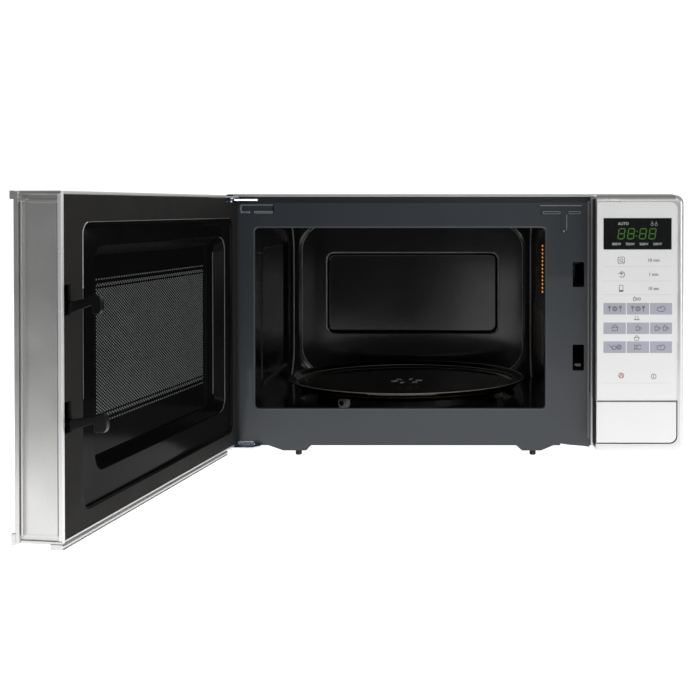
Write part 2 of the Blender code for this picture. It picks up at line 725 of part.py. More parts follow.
def fan(cabinet):
    x, z = FAN
    wall, back = 262.0, 263.5
    cabinet.piece(
        "fan_shroud",
        box((318, wall, 108), (440, back, 246)),
        ZINC,
        joined=[box((318, wall - 8, 108), (319.5, back, 246)), box((318, wall - 8, 108), (440, back, 109.5))],
        cut=[rod((x, wall - 3, z), (x, back + 3, z), FAN_RADIUS + 2, segments=40)],
    )
    cabinet.piece(
        "fan_motor",
        box((x - 18, 272, z - 24), (x + 18, 290, z + 20)),
        STEEL,
        joined=[
            box((x - 60, 268, z - 4), (x + 58, 273, z + 4)),
            box((x - 60, back + GAP, z - 4), (x - 54, 270, z + 4)),
            box((x + 52, back + GAP, z - 4), (x + 58, 270, z + 4)),
            rod((x - 14, 281, z - 28), (x + 14, 281, z - 28), 9),
        ],
        cut=[rod((x, 262, z), (x, 295, z), 2.6, segments=16)],
    )
    rotor = Body("fan_spin", (x, 254, z), cabinet)
    blades = []
    for i in range(5):
        blade = box((8, -0.6, -14), (FAN_RADIUS - 1, 0.6, 14))
        pitch = Matrix.Rotation(math.radians(-62), 4, "X")
        about_y = Matrix.Rotation(2 * math.pi * i / 5, 4, "Y")
        blade.transform(Matrix.Translation((x * MM, 0.254, z * MM)) @ about_y @ pitch)
        blades.append(blade)
    rotor.piece(
        "fan_blade",
        rod((x, 244, z), (x, 261, z), 11),
        NYLON,
        joined=[*blades, rod((x, 243, z), (x, 293, z), 2.0, segments=16)],
    )


def boards(cabinet):
    """Mains filter board on top of the liner."""
    stand = [rod((x, y, 226.8), (x, y, 231), 2.5, segments=12) for x in (206, 284) for y in (206, 264)]
    cabinet.piece(
        "noise_filter_board",
        box((200, 200, 230), (290, 270, 231.6)),
        CIRCUIT_BOARD,
        joined=[
            together(*stand),
            rod((225, 235, 231), (225, 235, 244), 13),
            together(box((245, 215, 231), (262, 232, 247)), box((250, 245, 231), (282, 252, 240))),
        ],
    )


def latch_gear(cabinet):
    """Bracket behind the front plate that guides the hooks and holds switches and the opening lever."""
    y, z = LEVER_AXIS
    front = SHEET + GAP
    windows = [box((340.5, 0, low + 2.2), (352.3, 5, high + 0.4)) for low, high in LATCH_SLOTS_PLATE]
    sills = [box((340, 3, low + 0.9), (353.5, 14, low + 2.4)) for low, _ in LATCH_SLOTS_PLATE]
    cabinet.piece(
        "latch_board",
        box((336, front, 74), (371, 3.2, 200)),
        MATT_BLACK,
        joined=[
            box((353, 2, 74), (355, 52, 198)),
            box((360, front, 74), (378, 3.2, 92)),
            box((373.5, 2, 74), (376, 12, 92)),
            together(*sills),
        ],
        cut=[together(*windows), rod((350, y, z), (380, y, z), 3.2)],
    )
    lever = Body("opening_lever_pivot", (0, y, z), cabinet)
    lever.piece(
        "opening_lever",
        rod((345, y, z), (386, y, z), 2.8),
        NYLON,
        joined=[
            box((380, y - 2, 50), (386, y + 2, z)),
            box((345, y, z - 2), (351, y + 20, z + 2)),
            box((345, y + 13, z), (351, y + 20, HOOK_FOOT - GAP)),
        ],
    )
    for name, left, near, low, plunger_x in SWITCHES:
        right, far = left + 6.2, near + 10
        terminals = [
            box((left + 4.4, far - 1, low + 3 + 7 * i), (left + 5.2, far + 7, low + 6 + 7 * i))
            for i in range(3)
        ]
        slot_left, slot_right, slot_low, slot_high = plunger_x - 1.5, plunger_x + 1.5, low + 10.5, low + 13.5
        cabinet.piece(
            name + "_switch",
            box((left, near, low), (right, far, low + 20)),
            MATT_BLACK,
            joined=[together(*terminals)],
            cut=[box((slot_left, near - 2, slot_low), (slot_right, near + 5, slot_high))],
        )
        plunger = Body(name + "_plunger_slide", (plunger_x, near, low + 12), cabinet)
        plunger.piece(
            name + "_plunger",
            box(
                (slot_left + GAP, near - 2.2, slot_low + GAP),
                (slot_right - GAP, near + 2.6, slot_high - GAP),
            ),
            WHITE_SILVER,
        )


# ------------------------------------------------------------------ control panel


def control_panel(cabinet):
    """Moulded bezel with the keypad, the display and the door button."""
    left, wall = PANEL[0], 2.2
    radii = (PANEL_RADIUS, PANEL_RADIUS, 1.5, 1.5)
    outside = prism(rounded(PANEL, radii, 6), "y", -FRONT_DEPTH, DOOR_BACK)
    inside = prism(rounded(grown(PANEL, -wall), (6, 6, 0.0, 0.0), 4), "y", wall - FRONT_DEPTH, 2)
    cabinet.piece(
        "control_panel_bezel",
        outside,
        SILVER_PLASTIC,
        joined=[box((357.6, -8, 18), (left + 1, DOOR_BACK, 250))],
        cut=[
            inside,
            prism(rounded(KEYPAD, (0.6, PANEL_RADIUS - 1, 0.6, 0.6)), "y", -40, 0.9 - FRONT_DEPTH),
            box((368.5, -40, 207.2), (429, -30, 233.2)),
            box((left - 5, -40, BUTTON[1] - 0.4), (BUTTON[2] + 0.4, BUTTON_BACK + 6, BUTTON[3] + 0.4)),
            box((left - 5, -30, 66), (left + 1, -11, 250)),
        ],
    )
    sheet = (-FRONT_DEPTH, 0.6 - FRONT_DEPTH)
    cabinet.piece(
        "keypad_overlay",
        prism(rounded(grown(KEYPAD, -GAP), (0.5, PANEL_RADIUS - 1.3, 0.5, 0.5)), "y", *sheet),
        WHITE_SILVER,
        cut=[box((DISPLAY[0], -40, DISPLAY[1]), (DISPLAY[2], -30, DISPLAY[3]))],
    )
    window = prism(rounded(grown(DISPLAY, -GAP), 0.3, 1), "y", *shifted(sheet, 0.02))
    cabinet.piece("display_window", window, SMOKED)
    display_module = combined(
        box((369.5, -31.8, 208), (428.5, -16, 232.4)), joined=[box((366, -23, 206), (433, -19, 235))]
    )
    cabinet.piece(
        "control_board",
        box((364, -17, 68), (438, -15.4, 242)),
        CIRCUIT_BOARD,
        joined=[
            box((404, -16, 80), (430, 6, 106)),
            display_module,
            together(
                box((377, -16, 84), (396, -2, 100)),
                box((377, -16, 150), (407, -12, 160)),
                rod((415, -16, 180), (415, -6, 180), 6),
                rod((390, -16, 190), (390, -4, 190), 5),
            ),
        ],
    )


def door_button(cabinet):
    button = Body("door_button_slide", (382.0, -20.0, 42.0), cabinet)
    cap = prism(rounded(BUTTON, (PANEL_RADIUS - 1, 0.8, 0.8, 0.8), 5), "y", 0.2 - FRONT_DEPTH, BUTTON_BACK)
    hollow = prism(rounded(grown(BUTTON, -1.8), (5, 0.0, 0.0, 0.0), 4), "y", 2.2 - FRONT_DEPTH, -20)
    button.piece(
        "door_button",
        combined(cap, cut=[hollow]),
        WHITE_SILVER,
        joined=[box((380, 1.0 - FRONT_DEPTH, 50), (386, 4.6, 56))],
    )
    coil(button, "button_spring", (408, -31.6, 42), (408, -0.9, 42), 4.5, 0.8, 7, STEEL)


# ------------------------------------------------------------------ door


def door_plan():
    """Outline of the closed door from above: rounded about its axis at one end, ribbed at the other."""
    x, y = HINGE
    right = DOOR_RIGHT
    front = -FRONT_DEPTH
    points = arc((x, y), HINGE_RADIUS, 90, 180, 6)
    points += [(4.25, -19.5), (1.2, -21.5), (1.2, front + 4), *arc((5.2, front + 4), 4, 180, 270, 3)]
    points += [(right - 1, front), (right, front + 1), (right, -31.4), (right - 1, -31.2), (right - 1, -30.0)]
    points += [(right - 0.2, -29.8), (right - 0.2, -28.8), (right - 2.5, -28.5), (right - 2.5, -25.2)]
    points += [(right - 1.2, -24.9), (right - 1.2, -3.7), (right - 1.8, -3.5), (right - 1.8, DOOR_BACK)]
    return points


def hook_outline(root, reach):
    """One latch hook, from the top of its root round its head to the bottom of its root, in Y and Z."""
    back = DOOR_BACK
    head = reach - 6
    tip = back + reach
    return [
        (back, root + 8.9), (back + head, root + 13.6), (tip - 2, root + 13.6), (tip, root + 10),
        (tip, root + 4), (tip - 2.5, root + 0.5), (back + head + 1, root), (back + head, root + 1),
        (back + head, root + 6.4), (back, root),
    ]


def door(cabinet):
    """The door, drawn closed and then turned about its hinge pins."""
    x, y = HINGE
    leaf = Body("door_hinge", (x, y, 0), cabinet, turn=-DOOR_OPEN)
    front, right = -FRONT_DEPTH, DOOR_RIGHT
    notch_top = box((-5, DOOR_NOTCH_FRONT, DOOR_NOTCH_TOP), (DOOR_NOTCH_RIGHT, 5, 260))
    rails = (
        box((3, front - 2.5, 250.6), (right, front + 1, DOOR_TOP)),
        box((3, front - 2.5, 13.2), (right, front + 1, 21.8)),
    )
    trim = prism(
        [(-9, 11.1), (0.7, 11.1), (0.7, 12.1), (0.2, 12.4), (0.7, 12.8), (0.7, 14.2), (0, 15), (-9, 15.2)],
        "x", DOOR_NOTCH_RIGHT, right - 0.4,
    )
    frame = prism(door_plan(), "z", DOOR_BOTTOM, DOOR_TOP)
    pocket = box((17.4, -31.5, 17.2), (353.9, 2, 254.4))
    bores = (
        rod((x, y, DOOR_BOTTOM - 2), (x, y, 27), PIN_RADIUS + GAP + 0.05),
        rod((x, y, 237), (x, y, DOOR_NOTCH_TOP + 2), PIN_RADIUS + GAP + 0.05),
    )
    leaf.piece(
        "door_frame",
        combined(frame, joined=[*rails, trim], cut=[pocket, notch_top]),
        SILVER_PLASTIC,
        joined=[box((17, -31.8, 236), (40, DOOR_NOTCH_FRONT - 0.8, 255))],
        cut=[
            together(*bores),
            prism(rounded(DOOR_GLASS, 6), "y", front - 1, front + 2.1),
            prism(rounded(grown(DOOR_GLASS, -6), 5), "y", front + 1, -30),
        ],
    )
    outer_glass = prism(rounded(grown(DOOR_GLASS, -GAP), 5.7), "y", front + 0.1, front + 1.8)
    leaf.piece("door_glass", outer_glass, SMOKED)

    screen_outline = (19.5, 20.0, 340.0, 234.0)
    screen_back, screen_front = -13.4, -14.2
    dish = shell(prism(rounded(screen_outline, 8, 3), "y", screen_front, -5.2), "y", -5.2, SHEET)
    leaf.piece(
        "door_screen",
        dish,
        STEEL,
        joined=[
            combined(
                prism(rounded(grown(DOOR_WINDOW, 9), 10, 3), "y", screen_back - 0.4, -6),
                cut=[prism(rounded(grown(DOOR_WINDOW, 8), 9, 3), "y", screen_front - 2, -4)],
            )
        ],
    )
    film = (-12.9, -12.5)
    leaf.piece("inner_film", prism(rounded(grown(DOOR_WINDOW, 4), 10, 3), "y", *film), GLASS)
    flange = prism(rounded(grown(CHOKE_OPENING, 2), 11, 3), "y", -4.6, -3.2)
    rim = prism(rounded(grown(DOOR_WINDOW, 1.6), 12, 4), "y", -12.2, -4)
    leaf.piece(
        "inner_bezel",
        combined(flange, joined=[rim]),
        GLOSS_BLACK,
        cut=[prism(rounded(DOOR_WINDOW, 12, 4), "y", -15, 0)],
    )
    slots = [box((344.0, -9, low), (353.4, 2, high)) for low, high in LATCH_SLOTS_DOOR]
    cover = (17.8, 17.6, 353.5, 254.0)
    leaf.piece(
        "choke_cover",
        prism(rounded(cover, 1.0, 2), "y", -2.9, DOOR_BACK),
        MATT_BLACK,
        cut=[prism(rounded(CHOKE_OPENING, 9), "y", -9, 2), together(*slots), notch_top.copy()],
    )

    latch = Body("latch_slide", (346.9, -14.0, 140.0), leaf)
    roots = [low + GAP for low, _ in LATCH_SLOTS_DOOR]
    lower, upper = (hook_outline(root, reach) for root, reach in zip(roots, HOOK_REACH))
    bar = [(-20, 82), (-20, 190), (-10, 190), (-10, 180.6), *upper, (-10, 171.7), (-10, 99.3), *lower]
    bar += [(-10, 90.4), (-10, 82)]
    latch.piece("door_latch", prism(bar, "x", *LATCH_X), MATT_BLACK)
    coil(latch, "latch_spring", (346.9, -15, 50), (346.9, -15, 80), 3.2, 0.8, 7, STEEL)


# ------------------------------------------------------------------ assembly


def stand_on_origin(root):
    """Shifts the oven so that the middle of its footprint is the origin."""
    bpy.context.view_layer.update()
    graph = bpy.context.evaluated_depsgraph_get()
    corners = []
    for shape in PARTS.objects:
        solid = shape.evaluated_get(graph)
        corners += [solid.matrix_world @ vertex.co for vertex in solid.to_mesh().vertices]
        solid.to_mesh_clear()
    for axis in (0, 1):
        values = [corner[axis] for corner in corners]
        root.location[axis] -= (min(values) + max(values)) / 2
    root.location[2] -= min(corner[2] for corner in corners)
    bpy.context.view_layer.update()


def main():
    cabinet = Body("microwave_oven")
    for build in (
        front_plate, base_pan, cavity_liner, outer_cover, back_panel, feet, hinge_brackets, turntable,
        lamp, magnetron, transformer, capacitor, fan, boards, latch_gear, control_panel, door_button, door,
    ):
        build(cabinet)
    stand_on_origin(cabinet.empty)


main()
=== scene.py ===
"""Looks of a countertop microwave oven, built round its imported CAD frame.

Shapes are drawn in millimetres in the cabinet's own frame: X from the cabinet's left side, Y from the front
plate to the rear and Z up from the feet. Door pieces are drawn with the door shut and then swung open.
"""

import json
import math

import bmesh
import bpy
from mathutils import Matrix, Vector


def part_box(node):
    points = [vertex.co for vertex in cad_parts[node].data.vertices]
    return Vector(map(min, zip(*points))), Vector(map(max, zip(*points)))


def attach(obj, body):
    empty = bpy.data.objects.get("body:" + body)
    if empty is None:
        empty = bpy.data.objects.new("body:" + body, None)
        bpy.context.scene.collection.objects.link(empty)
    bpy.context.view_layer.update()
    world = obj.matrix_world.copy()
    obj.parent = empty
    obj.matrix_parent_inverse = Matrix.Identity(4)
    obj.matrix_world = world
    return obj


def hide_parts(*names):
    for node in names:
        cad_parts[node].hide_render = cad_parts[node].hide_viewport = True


MM = 0.001
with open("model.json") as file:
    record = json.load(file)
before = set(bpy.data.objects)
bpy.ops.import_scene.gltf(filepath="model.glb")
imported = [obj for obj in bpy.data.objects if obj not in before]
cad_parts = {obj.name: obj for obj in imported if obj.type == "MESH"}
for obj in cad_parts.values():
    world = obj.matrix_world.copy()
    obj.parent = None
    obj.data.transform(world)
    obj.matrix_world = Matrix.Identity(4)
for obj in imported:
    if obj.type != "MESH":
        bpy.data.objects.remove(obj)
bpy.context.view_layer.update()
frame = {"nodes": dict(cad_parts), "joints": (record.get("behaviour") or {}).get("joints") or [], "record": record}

# The front plate's lowest corner in the cabinet's frame, which ties that frame to the CAD.
PLATE_CORNER = Vector((1.1, 0.0, 17.0))
CABINET = Matrix.Translation(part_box("front_plate")[0] - PLATE_CORNER * MM) @ Matrix.Scale(MM, 4)
HINGE = next(joint for joint in frame["joints"] if joint["name"] == "door_hinge")
HINGE_POINT = Matrix.Translation(HINGE["pos_m"])
SWING = Matrix.Rotation(-math.radians(HINGE["range_deg"][1]), 4, "Z")
LEAF = HINGE_POINT @ SWING @ HINGE_POINT.inverted() @ CABINET

# Driving dimensions, in millimetres; rectangles are left, bottom, right, top
FRONT_DEPTH = 35.0
OPENING = (30.8, 48.9, 314.3, 225.3)
CAVITY = (30.0, 44.0, 315.1, 225.7)
CAVITY_BACK = 286.0
BACK_PRESSING = (68.5, 92.7, 276.6, 190.3)
SIDE_PRESSING = (49, 62, 227, 206)
TURNTABLE = (172.6, 136.0)
PLATE_RADIUS, PLATE_UNDERSIDE, RIM_TOP = 127.5, 52.3, 62.5
PANEL = (359.4, 14.1, 443.0, 256.9)
KEYPAD = (360.4, 62.6, 436.6, 250.2)
DISPLAY = (366.5, 205.2, 431.0, 235.2)
BUTTON = (359.9, 22.2, 436.1, 61.4)
DOOR_RIGHT, DOOR_BACK = 358.4, -0.5
CHOKE_OPENING = (20.0, 30.0, 326.0, 235.0)
PANE = (24.0, 28.0, 336.0, 242.0)
DOOR_WINDOW = (35.0, 53.0, 302.0, 217.5)
LATCH_SLOTS_DOOR = ((90.1, 111.6), (171.4, 192.2))
LATCH_SLOTS_PLATE = ((86.2, 111.4), (167.6, 191.9))
HOOK_REACH = (28.5, 25.0)


# ------------------------------------------------------------------ materials


METAL_FLAKE = (2600.0, 0.002, 0.08)  # grain, relief and spread of a moulding with metal flake in its paint
SMUDGES = 28.0  # scale of the uneven gloss, in patches a few centimetres across


class Nodes:
    """A material's node tree, with short names for adding and linking nodes."""

    def __init__(self, name):
        self.material = bpy.data.materials.new(name)
        self.material.use_nodes = True
        self.tree = self.material.node_tree
        self.shader = self.tree.nodes["Principled BSDF"]
        self.where = self.add("ShaderNodeTexCoord").outputs["Object"]

    def add(self, kind, **values):
        node = self.tree.nodes.new(kind)
        for key, value in values.items():
            setattr(node, key, value)
        return node

    def link(self, start, end):
        self.tree.links.new(start, end)

    def noise(self, scale, detail=3.0):
        node = self.add("ShaderNodeTexNoise")
        node.inputs["Scale"].default_value = scale
        node.inputs["Detail"].default_value = detail
        self.link(self.where, node.inputs["Vector"])
        return node.outputs["Fac"]

    def ranged(self, value, low, high, start=0.3, end=0.7):
        node = self.add("ShaderNodeMapRange")
        for key, number in (("From Min", start), ("From Max", end), ("To Min", low), ("To Max", high)):
            node.inputs[key].default_value = number
        self.link(value, node.inputs["Value"])
        return node.outputs["Result"]

    def mixed(self, factor, first, second):
        node = self.add("ShaderNodeMix", data_type="RGBA")
        self.link(factor, node.inputs["Factor"])
        node.inputs["A"].default_value = (*first, 1)
        node.inputs["B"].default_value = (*second, 1)
        return node.outputs["Result"]

    def bump(self, height, distance, strength=1.0):
        node = self.add("ShaderNodeBump")
        node.inputs["Distance"].default_value = distance * MM
        node.inputs["Strength"].default_value = strength
        self.link(height, node.inputs["Height"])
        self.link(node.outputs["Normal"], self.shader.inputs["Normal"])

    def fixed(self, **values):
        for key, value in values.items():
            self.shader.inputs[key.replace("_", " ")].default_value = value
        return self


def coated(name, colour, roughness, grain, relief, spread=0.08, smudge=0.06, **fixed):
    """A painted, moulded or metal surface: fine grain in its colour and relief, and uneven gloss."""
    nodes = Nodes(name)
    darker = tuple(value * (1 - spread) for value in colour)
    lighter = tuple(value * (1 + spread) for value in colour)
    fine = nodes.noise(grain, 2.0)
    nodes.link(nodes.mixed(nodes.ranged(fine, 0, 1), darker, lighter), nodes.shader.inputs["Base Color"])
    broad = nodes.noise(SMUDGES, 4.0)
    nodes.link(nodes.ranged(broad, roughness - smudge, roughness + smudge), nodes.shader.inputs["Roughness"])
    nodes.bump(fine, relief)
    return nodes.fixed(**fixed).material


def enamel():
    """Fired black enamel: glossy, with the slow waviness and pin specks of the real coating."""
    nodes = Nodes("black_enamel")
    specks = nodes.noise(2600.0, 1.0)
    tint = nodes.mixed(nodes.ranged(specks, 0, 1, 0.62, 0.74), (0.0035, 0.0038, 0.0038), (0.02, 0.02, 0.02))
    nodes.link(tint, nodes.shader.inputs["Base Color"])
    nodes.link(nodes.ranged(nodes.noise(9.0), 0.09, 0.17), nodes.shader.inputs["Roughness"])
    nodes.bump(nodes.noise(170.0, 2.0), 0.02, 0.6)
    return nodes.material


def clear_glass(name, tint, roughness=0.01):
    """Moulded glass, slightly wavy and not quite even in its tint."""
    nodes = Nodes(name)
    nodes.link(nodes.ranged(nodes.noise(60.0), roughness, roughness + 0.03), nodes.shader.inputs["Roughness"])
    nodes.bump(nodes.noise(120.0), 0.01, 0.4)
    deeper = tuple(value * 0.94 for value in tint)
    nodes.link(nodes.mixed(nodes.noise(30.0), tint, deeper), nodes.shader.inputs["Base Color"])
    return nodes.fixed(Transmission_Weight=1.0, IOR=1.5).material


def winding():
    """Enamelled copper wire wound in layers."""
    nodes = Nodes("copper_winding")
    wave = nodes.add("ShaderNodeTexWave", bands_direction="Z")
    wave.inputs["Scale"].default_value = 420.0
    wave.inputs["Distortion"].default_value = 0.6
    nodes.link(nodes.where, wave.inputs["Vector"])
    colour = nodes.mixed(wave.outputs["Fac"], (0.12, 0.03, 0.008), (0.62, 0.24, 0.08))
    nodes.link(colour, nodes.shader.inputs["Base Color"])
    nodes.bump(wave.outputs["Fac"], 0.4)
    return nodes.fixed(Roughness=0.35, Metallic=0.7).material


def glowing(name, colour, strength, grain=500.0):
    """A lit surface, uneven in brightness."""
    nodes = Nodes(name)
    dim = tuple(value * 0.45 for value in colour)
    lit = nodes.mixed(nodes.ranged(nodes.noise(grain), 0, 1), dim, colour)
    nodes.link(lit, nodes.shader.inputs["Emission Color"])
    nodes.link(nodes.ranged(nodes.noise(grain), 0.3, 0.5), nodes.shader.inputs["Roughness"])
    nodes.shader.inputs["Base Color"].default_value = (*(value * 0.5 for value in colour), 1)
    return nodes.fixed(Emission_Strength=strength).material


def make_materials():
    """One material for each slot of the record."""
    return {
        "plate_paint": coated("plate_paint", (0.0225, 0.0282, 0.0345), 0.32, 1500.0, 0.008, 0.06, 0.02,
                              Coat_Weight=0.2),
        "cover_paint": coated("cover_paint", (0.5, 0.5, 0.49), 0.42, 4200.0, 0.01, 0.16, 0.015, Metallic=0.4),
        "black_enamel": enamel(),
        "zinc_plate": coated("zinc_plate", (0.62, 0.68, 0.76), 0.28, 700.0, 0.015, 0.18, Metallic=1.0),
        "silver_plastic": coated("silver_plastic", (0.62, 0.617, 0.607), 0.33, *METAL_FLAKE, Metallic=0.75),
        "white_silver": coated("white_silver", (0.8, 0.8, 0.8), 0.36, 5200.0, 0.006, 0.05, Metallic=0.12),
        "matt_black": coated("matt_black", (0.018, 0.017, 0.0162), 0.6, 2600.0, 0.03, 0.2,
                             Specular_IOR_Level=0.05),
        "gloss_black": coated("gloss_black", (0.0035, 0.0035, 0.0035), 0.14, 240.0, 0.004, 0.2, 0.03,
                              Specular_IOR_Level=0.025),
        "glass": clear_glass("glass", (0.86, 0.84, 0.8)),
        "smoked_window": coated("smoked_window", (0.006, 0.007, 0.007), 0.06, 300.0, 0.003, 0.3, 0.02),
        "white_nylon": coated("white_nylon", (0.78, 0.77, 0.73), 0.42, 1800.0, 0.02, 0.05),
        "rubber": coated("rubber", (0.016, 0.016, 0.016), 0.75, 2200.0, 0.05, 0.3),
        "copper_winding": winding(),
        "steel": coated("steel", (0.46, 0.46, 0.46), 0.34, 1200.0, 0.01, 0.15, Metallic=1.0),
        "aluminium": coated("aluminium", (0.78, 0.78, 0.79), 0.32, 1500.0, 0.01, 0.1, Metallic=1.0),
        "circuit_board": coated("circuit_board", (0.42, 0.28, 0.11), 0.55, 800.0, 0.05, 0.35),
        "mica": coated("mica", (0.05, 0.044, 0.035), 0.5, 260.0, 0.05, 0.3),
    }


SLOTS = make_materials()

# Finishes of pieces that look different from the rest of their slot; several of them are painted highlights or
# painted shade
FINE_BLACK = (2000.0, 0.01, 0.2)  # grain, relief and spread of black plastic
INK = coated("printed_ink", (0.05, 0.05, 0.05), 0.45, 3000.0, 0.004, 0.15)
PALE_INK = coated("pale_ink", (0.42, 0.44, 0.45), 0.45, 3000.0, 0.004, 0.1)
RED_INK = coated("red_ink", (0.5, 0.04, 0.06), 0.45, 3000.0, 0.004, 0.15)
RULE_INK = coated("rule_ink", (0.62, 0.62, 0.62), 0.4, 3000.0, 0.004, 0.05)
KEY_PRINT = coated("key_print", (0.4, 0.4, 0.46), 0.4, 3600.0, 0.006, 0.06)
# A lighter copy of the silver plastic: painted highlights on an edge bead and a rib
HIGHLIGHT_RIB = coated("painted_highlight_rib", (0.78, 0.78, 0.78), 0.3, *METAL_FLAKE, Metallic=0.35)
# Darker copies of the silver plastic and a near-black sheet: painted shade on the panel's side and top
SHADED_TRIM = coated("shaded_trim_grey", (0.17, 0.17, 0.17), 0.4, *METAL_FLAKE, Metallic=0.3)
SHADED_BAND = coated("shaded_band_silver", (0.32, 0.308, 0.296), 0.42, *METAL_FLAKE, Metallic=0.3)
SHADED_WALL = coated("shaded_wall", (0.016, 0.017, 0.018), 0.5, 2000.0, 0.01, 0.1, Specular_IOR_Level=0.1)
# Near-black for parts seen only through slots: painted shade
SHADED_BLACK = coated("shaded_black", (0.0012, 0.0012, 0.0012), 0.6, *FINE_BLACK, Specular_IOR_Level=0.03)
# Black plastic of the latch hooks; also painted shade inside the gap round the button
HOOK_PLASTIC_AND_GAP_SHADE = coated("hook_plastic_and_gap_shade", (0.0022, 0.0022, 0.0022), 0.28, *FINE_BLACK, Specular_IOR_Level=0.25)
RING_NYLON = coated("ring_nylon", (0.02, 0.017, 0.014), 0.4, 1800.0, 0.02, 0.15)
# Pale grey strips round the pressed bars: painted highlights on their edges
EDGE_HIGHLIGHT = coated("painted_highlight_plate_edge", (0.36, 0.37, 0.39), 0.3, 1500.0, 0.01, 0.1)
# A grey a little lighter than the plate's paint: a painted highlight along the mouth's rolled lip
LIP_HIGHLIGHT = coated("painted_highlight_mouth_lip", (0.05, 0.053, 0.057), 0.34, 1500.0, 0.012)
# Grey beads on the door's glossy recess: painted dim highlights along its edges
DIM_HIGHLIGHT = coated("painted_dim_highlight_bead", (0.13, 0.13, 0.13), 0.22, 900.0, 0.008, 0.2, 0.04)
# Pale grey beads inside the cavity: painted highlights along the enamel's edges
BEAD_HIGHLIGHT = coated("painted_highlight_bead", (0.55, 0.55, 0.54), 0.22, 900.0, 0.008, 0.2, 0.04)
CORNER_ENAMEL = coated("corner_enamel", (0.02, 0.021, 0.021), 0.16, 900.0, 0.01, 0.3, 0.04)
# Pale grey fills in the screen's holes: painted light seen through them
HOLE_LIGHT_DOT = coated("painted_light_in_holes", (0.21, 0.22, 0.22), 0.45, 2000.0, 0.01, 0.25, Metallic=0.3)
TABLE_GLASS = clear_glass("turntable_glass", (0.2, 0.17, 0.14), 0.015)
# Opaque pale and brown greys on the glass plate: painted highlights of its marks and rims
MARK_HIGHLIGHT = coated("painted_highlight_marks", (0.5, 0.48, 0.45), 0.25, 600.0, 0.006, 0.15)
RIM_HIGHLIGHT = coated("painted_highlight_rims", (0.2, 0.165, 0.13), 0.2, 600.0, 0.006, 0.15)
DIGITS = glowing("lit_segments", (0.045, 0.17, 0.0015), 0.6)
LAMP_LIGHT = glowing("lamp_light", (0.9, 0.3, 0.03), 1.3, 160.0)


# ------------------------------------------------------------------ shapes


WELD = 1e-4  # millimetres
SHARP_EDGE = math.radians(35)

# Turns a drawing in X and Y so that its own Z runs along the named axis
ACROSS = {
    "x": Matrix(((0, 0, 1, 0), (1, 0, 0, 0), (0, 1, 0, 0), (0, 0, 0, 1))),
    "y": Matrix(((1, 0, 0, 0), (0, 0, -1, 0), (0, 1, 0, 0), (0, 0, 0, 1))),
    "z": Matrix.Identity(4),
}


def arc(centre, radius, start, end, steps):
    """Points of an arc, angles in degrees."""
    turns = [math.radians(start + (end - start) * i / steps) for i in range(steps + 1)]
    return [(centre[0] + radius * math.cos(t), centre[1] + radius * math.sin(t)) for t in turns]


def circle(x, z, radius, start=0, end=360, steps=14):
    """An arc about x, z; the whole round if no angles are given."""
    return arc((x, z), radius, start, end, steps)


def rounded(rectangle, radius, steps=6):
    """A rectangle with rounded corners; four radii go bottom right, top right, top left, bottom left."""
    left, bottom, right, top = rectangle
    radii = radius if isinstance(radius, tuple) else (radius,) * 4
    corners = ((right, bottom, -90), (right, top, 0), (left, top, 90), (left, bottom, 180))
    points = []
    for r, (x, z, start) in zip(radii, corners):
        r = max(r, 0.01)
        centre = (x - r if x == right else x + r, z + r if z == bottom else z - r)
        points += arc(centre, r, start, start + 90, steps)
    return points


def grown(rectangle, by):
    """The rectangle with every side moved outwards."""
    left, bottom, right, top = rectangle
    return (left - by, bottom - by, right + by, top + by)


def placed(name, data):
    """A new object in the scene."""
    made = bpy.data.objects.new(name, data)
    bpy.context.scene.collection.objects.link(made)
    return made


def mesh_of(bm):
    """The mesh of a finished bmesh."""
    mesh = bpy.data.meshes.new("shape")
    bm.to_mesh(mesh)
    bm.free()
    return mesh


def baked(data):
    """The mesh of scratch data with its modifiers and bevels made real."""
    shape = placed("scratch", data)
    bpy.context.view_layer.update()
    mesh = bpy.data.meshes.new_from_object(shape.evaluated_get(bpy.context.evaluated_depsgraph_get()))
    bpy.data.objects.remove(shape)
    bm = bmesh.new()
    bm.from_mesh(mesh)
    bmesh.ops.remove_doubles(bm, verts=bm.verts, dist=WELD)
    bmesh.ops.recalc_face_normals(bm, faces=bm.faces)
    bm.to_mesh(mesh)
    bm.free()
    return mesh


def slab(outlines, axis, low, high, bevel=0.3):
    """A flat outline, with holes if more outlines follow, extruded along an axis with rounded edges."""
    curve = bpy.data.curves.new("outline", "CURVE")
    curve.dimensions = "2D"
    curve.fill_mode = "BOTH"
    curve.extrude = (high - low) / 2 - bevel
    curve.bevel_depth = bevel
    curve.bevel_resolution = 2
    curve.offset = -bevel
    for outline in outlines:
        spline = curve.splines.new("POLY")
        spline.points.add(len(outline) - 1)
        for point, (a, b) in zip(spline.points, outline):
            point.co = (a, b, 0, 1)
        spline.use_cyclic_u = True
    mesh = baked(curve)
    mesh.transform(ACROSS[axis])
    mesh.transform(Matrix.Translation([(low + high) / 2 if name == axis else 0 for name in "xyz"]))
    return mesh


def loft(loops, cap_first=False, cap_last=False, ring=False, cyclic=True):
    """A skin through loops of equally many points."""
    bm = bmesh.new()
    rows = [[bm.verts.new(point) for point in loop] for loop in loops]
    if ring:
        rows.append(rows[0])
    for first, second in zip(rows, rows[1:]):
        count = len(first) if cyclic else len(first) - 1
        for i in range(count):
            j = (i + 1) % len(first)
            bm.faces.new((first[i], first[j], second[j], second[i]))
    if cap_first:
        bm.faces.new(reversed(rows[0]))
    if cap_last:
        bm.faces.new(rows[-1])
    bmesh.ops.recalc_face_normals(bm, faces=bm.faces)
    return mesh_of(bm)


def at_depth(outline, axis, depth):
    """A flat outline as points in space."""
    place = {
        "x": lambda a, b: (depth, a, b),
        "y": lambda a, b: (a, depth, b),
        "z": lambda a, b: (a, b, depth),
    }[axis]
    return [place(a, b) for a, b in outline]


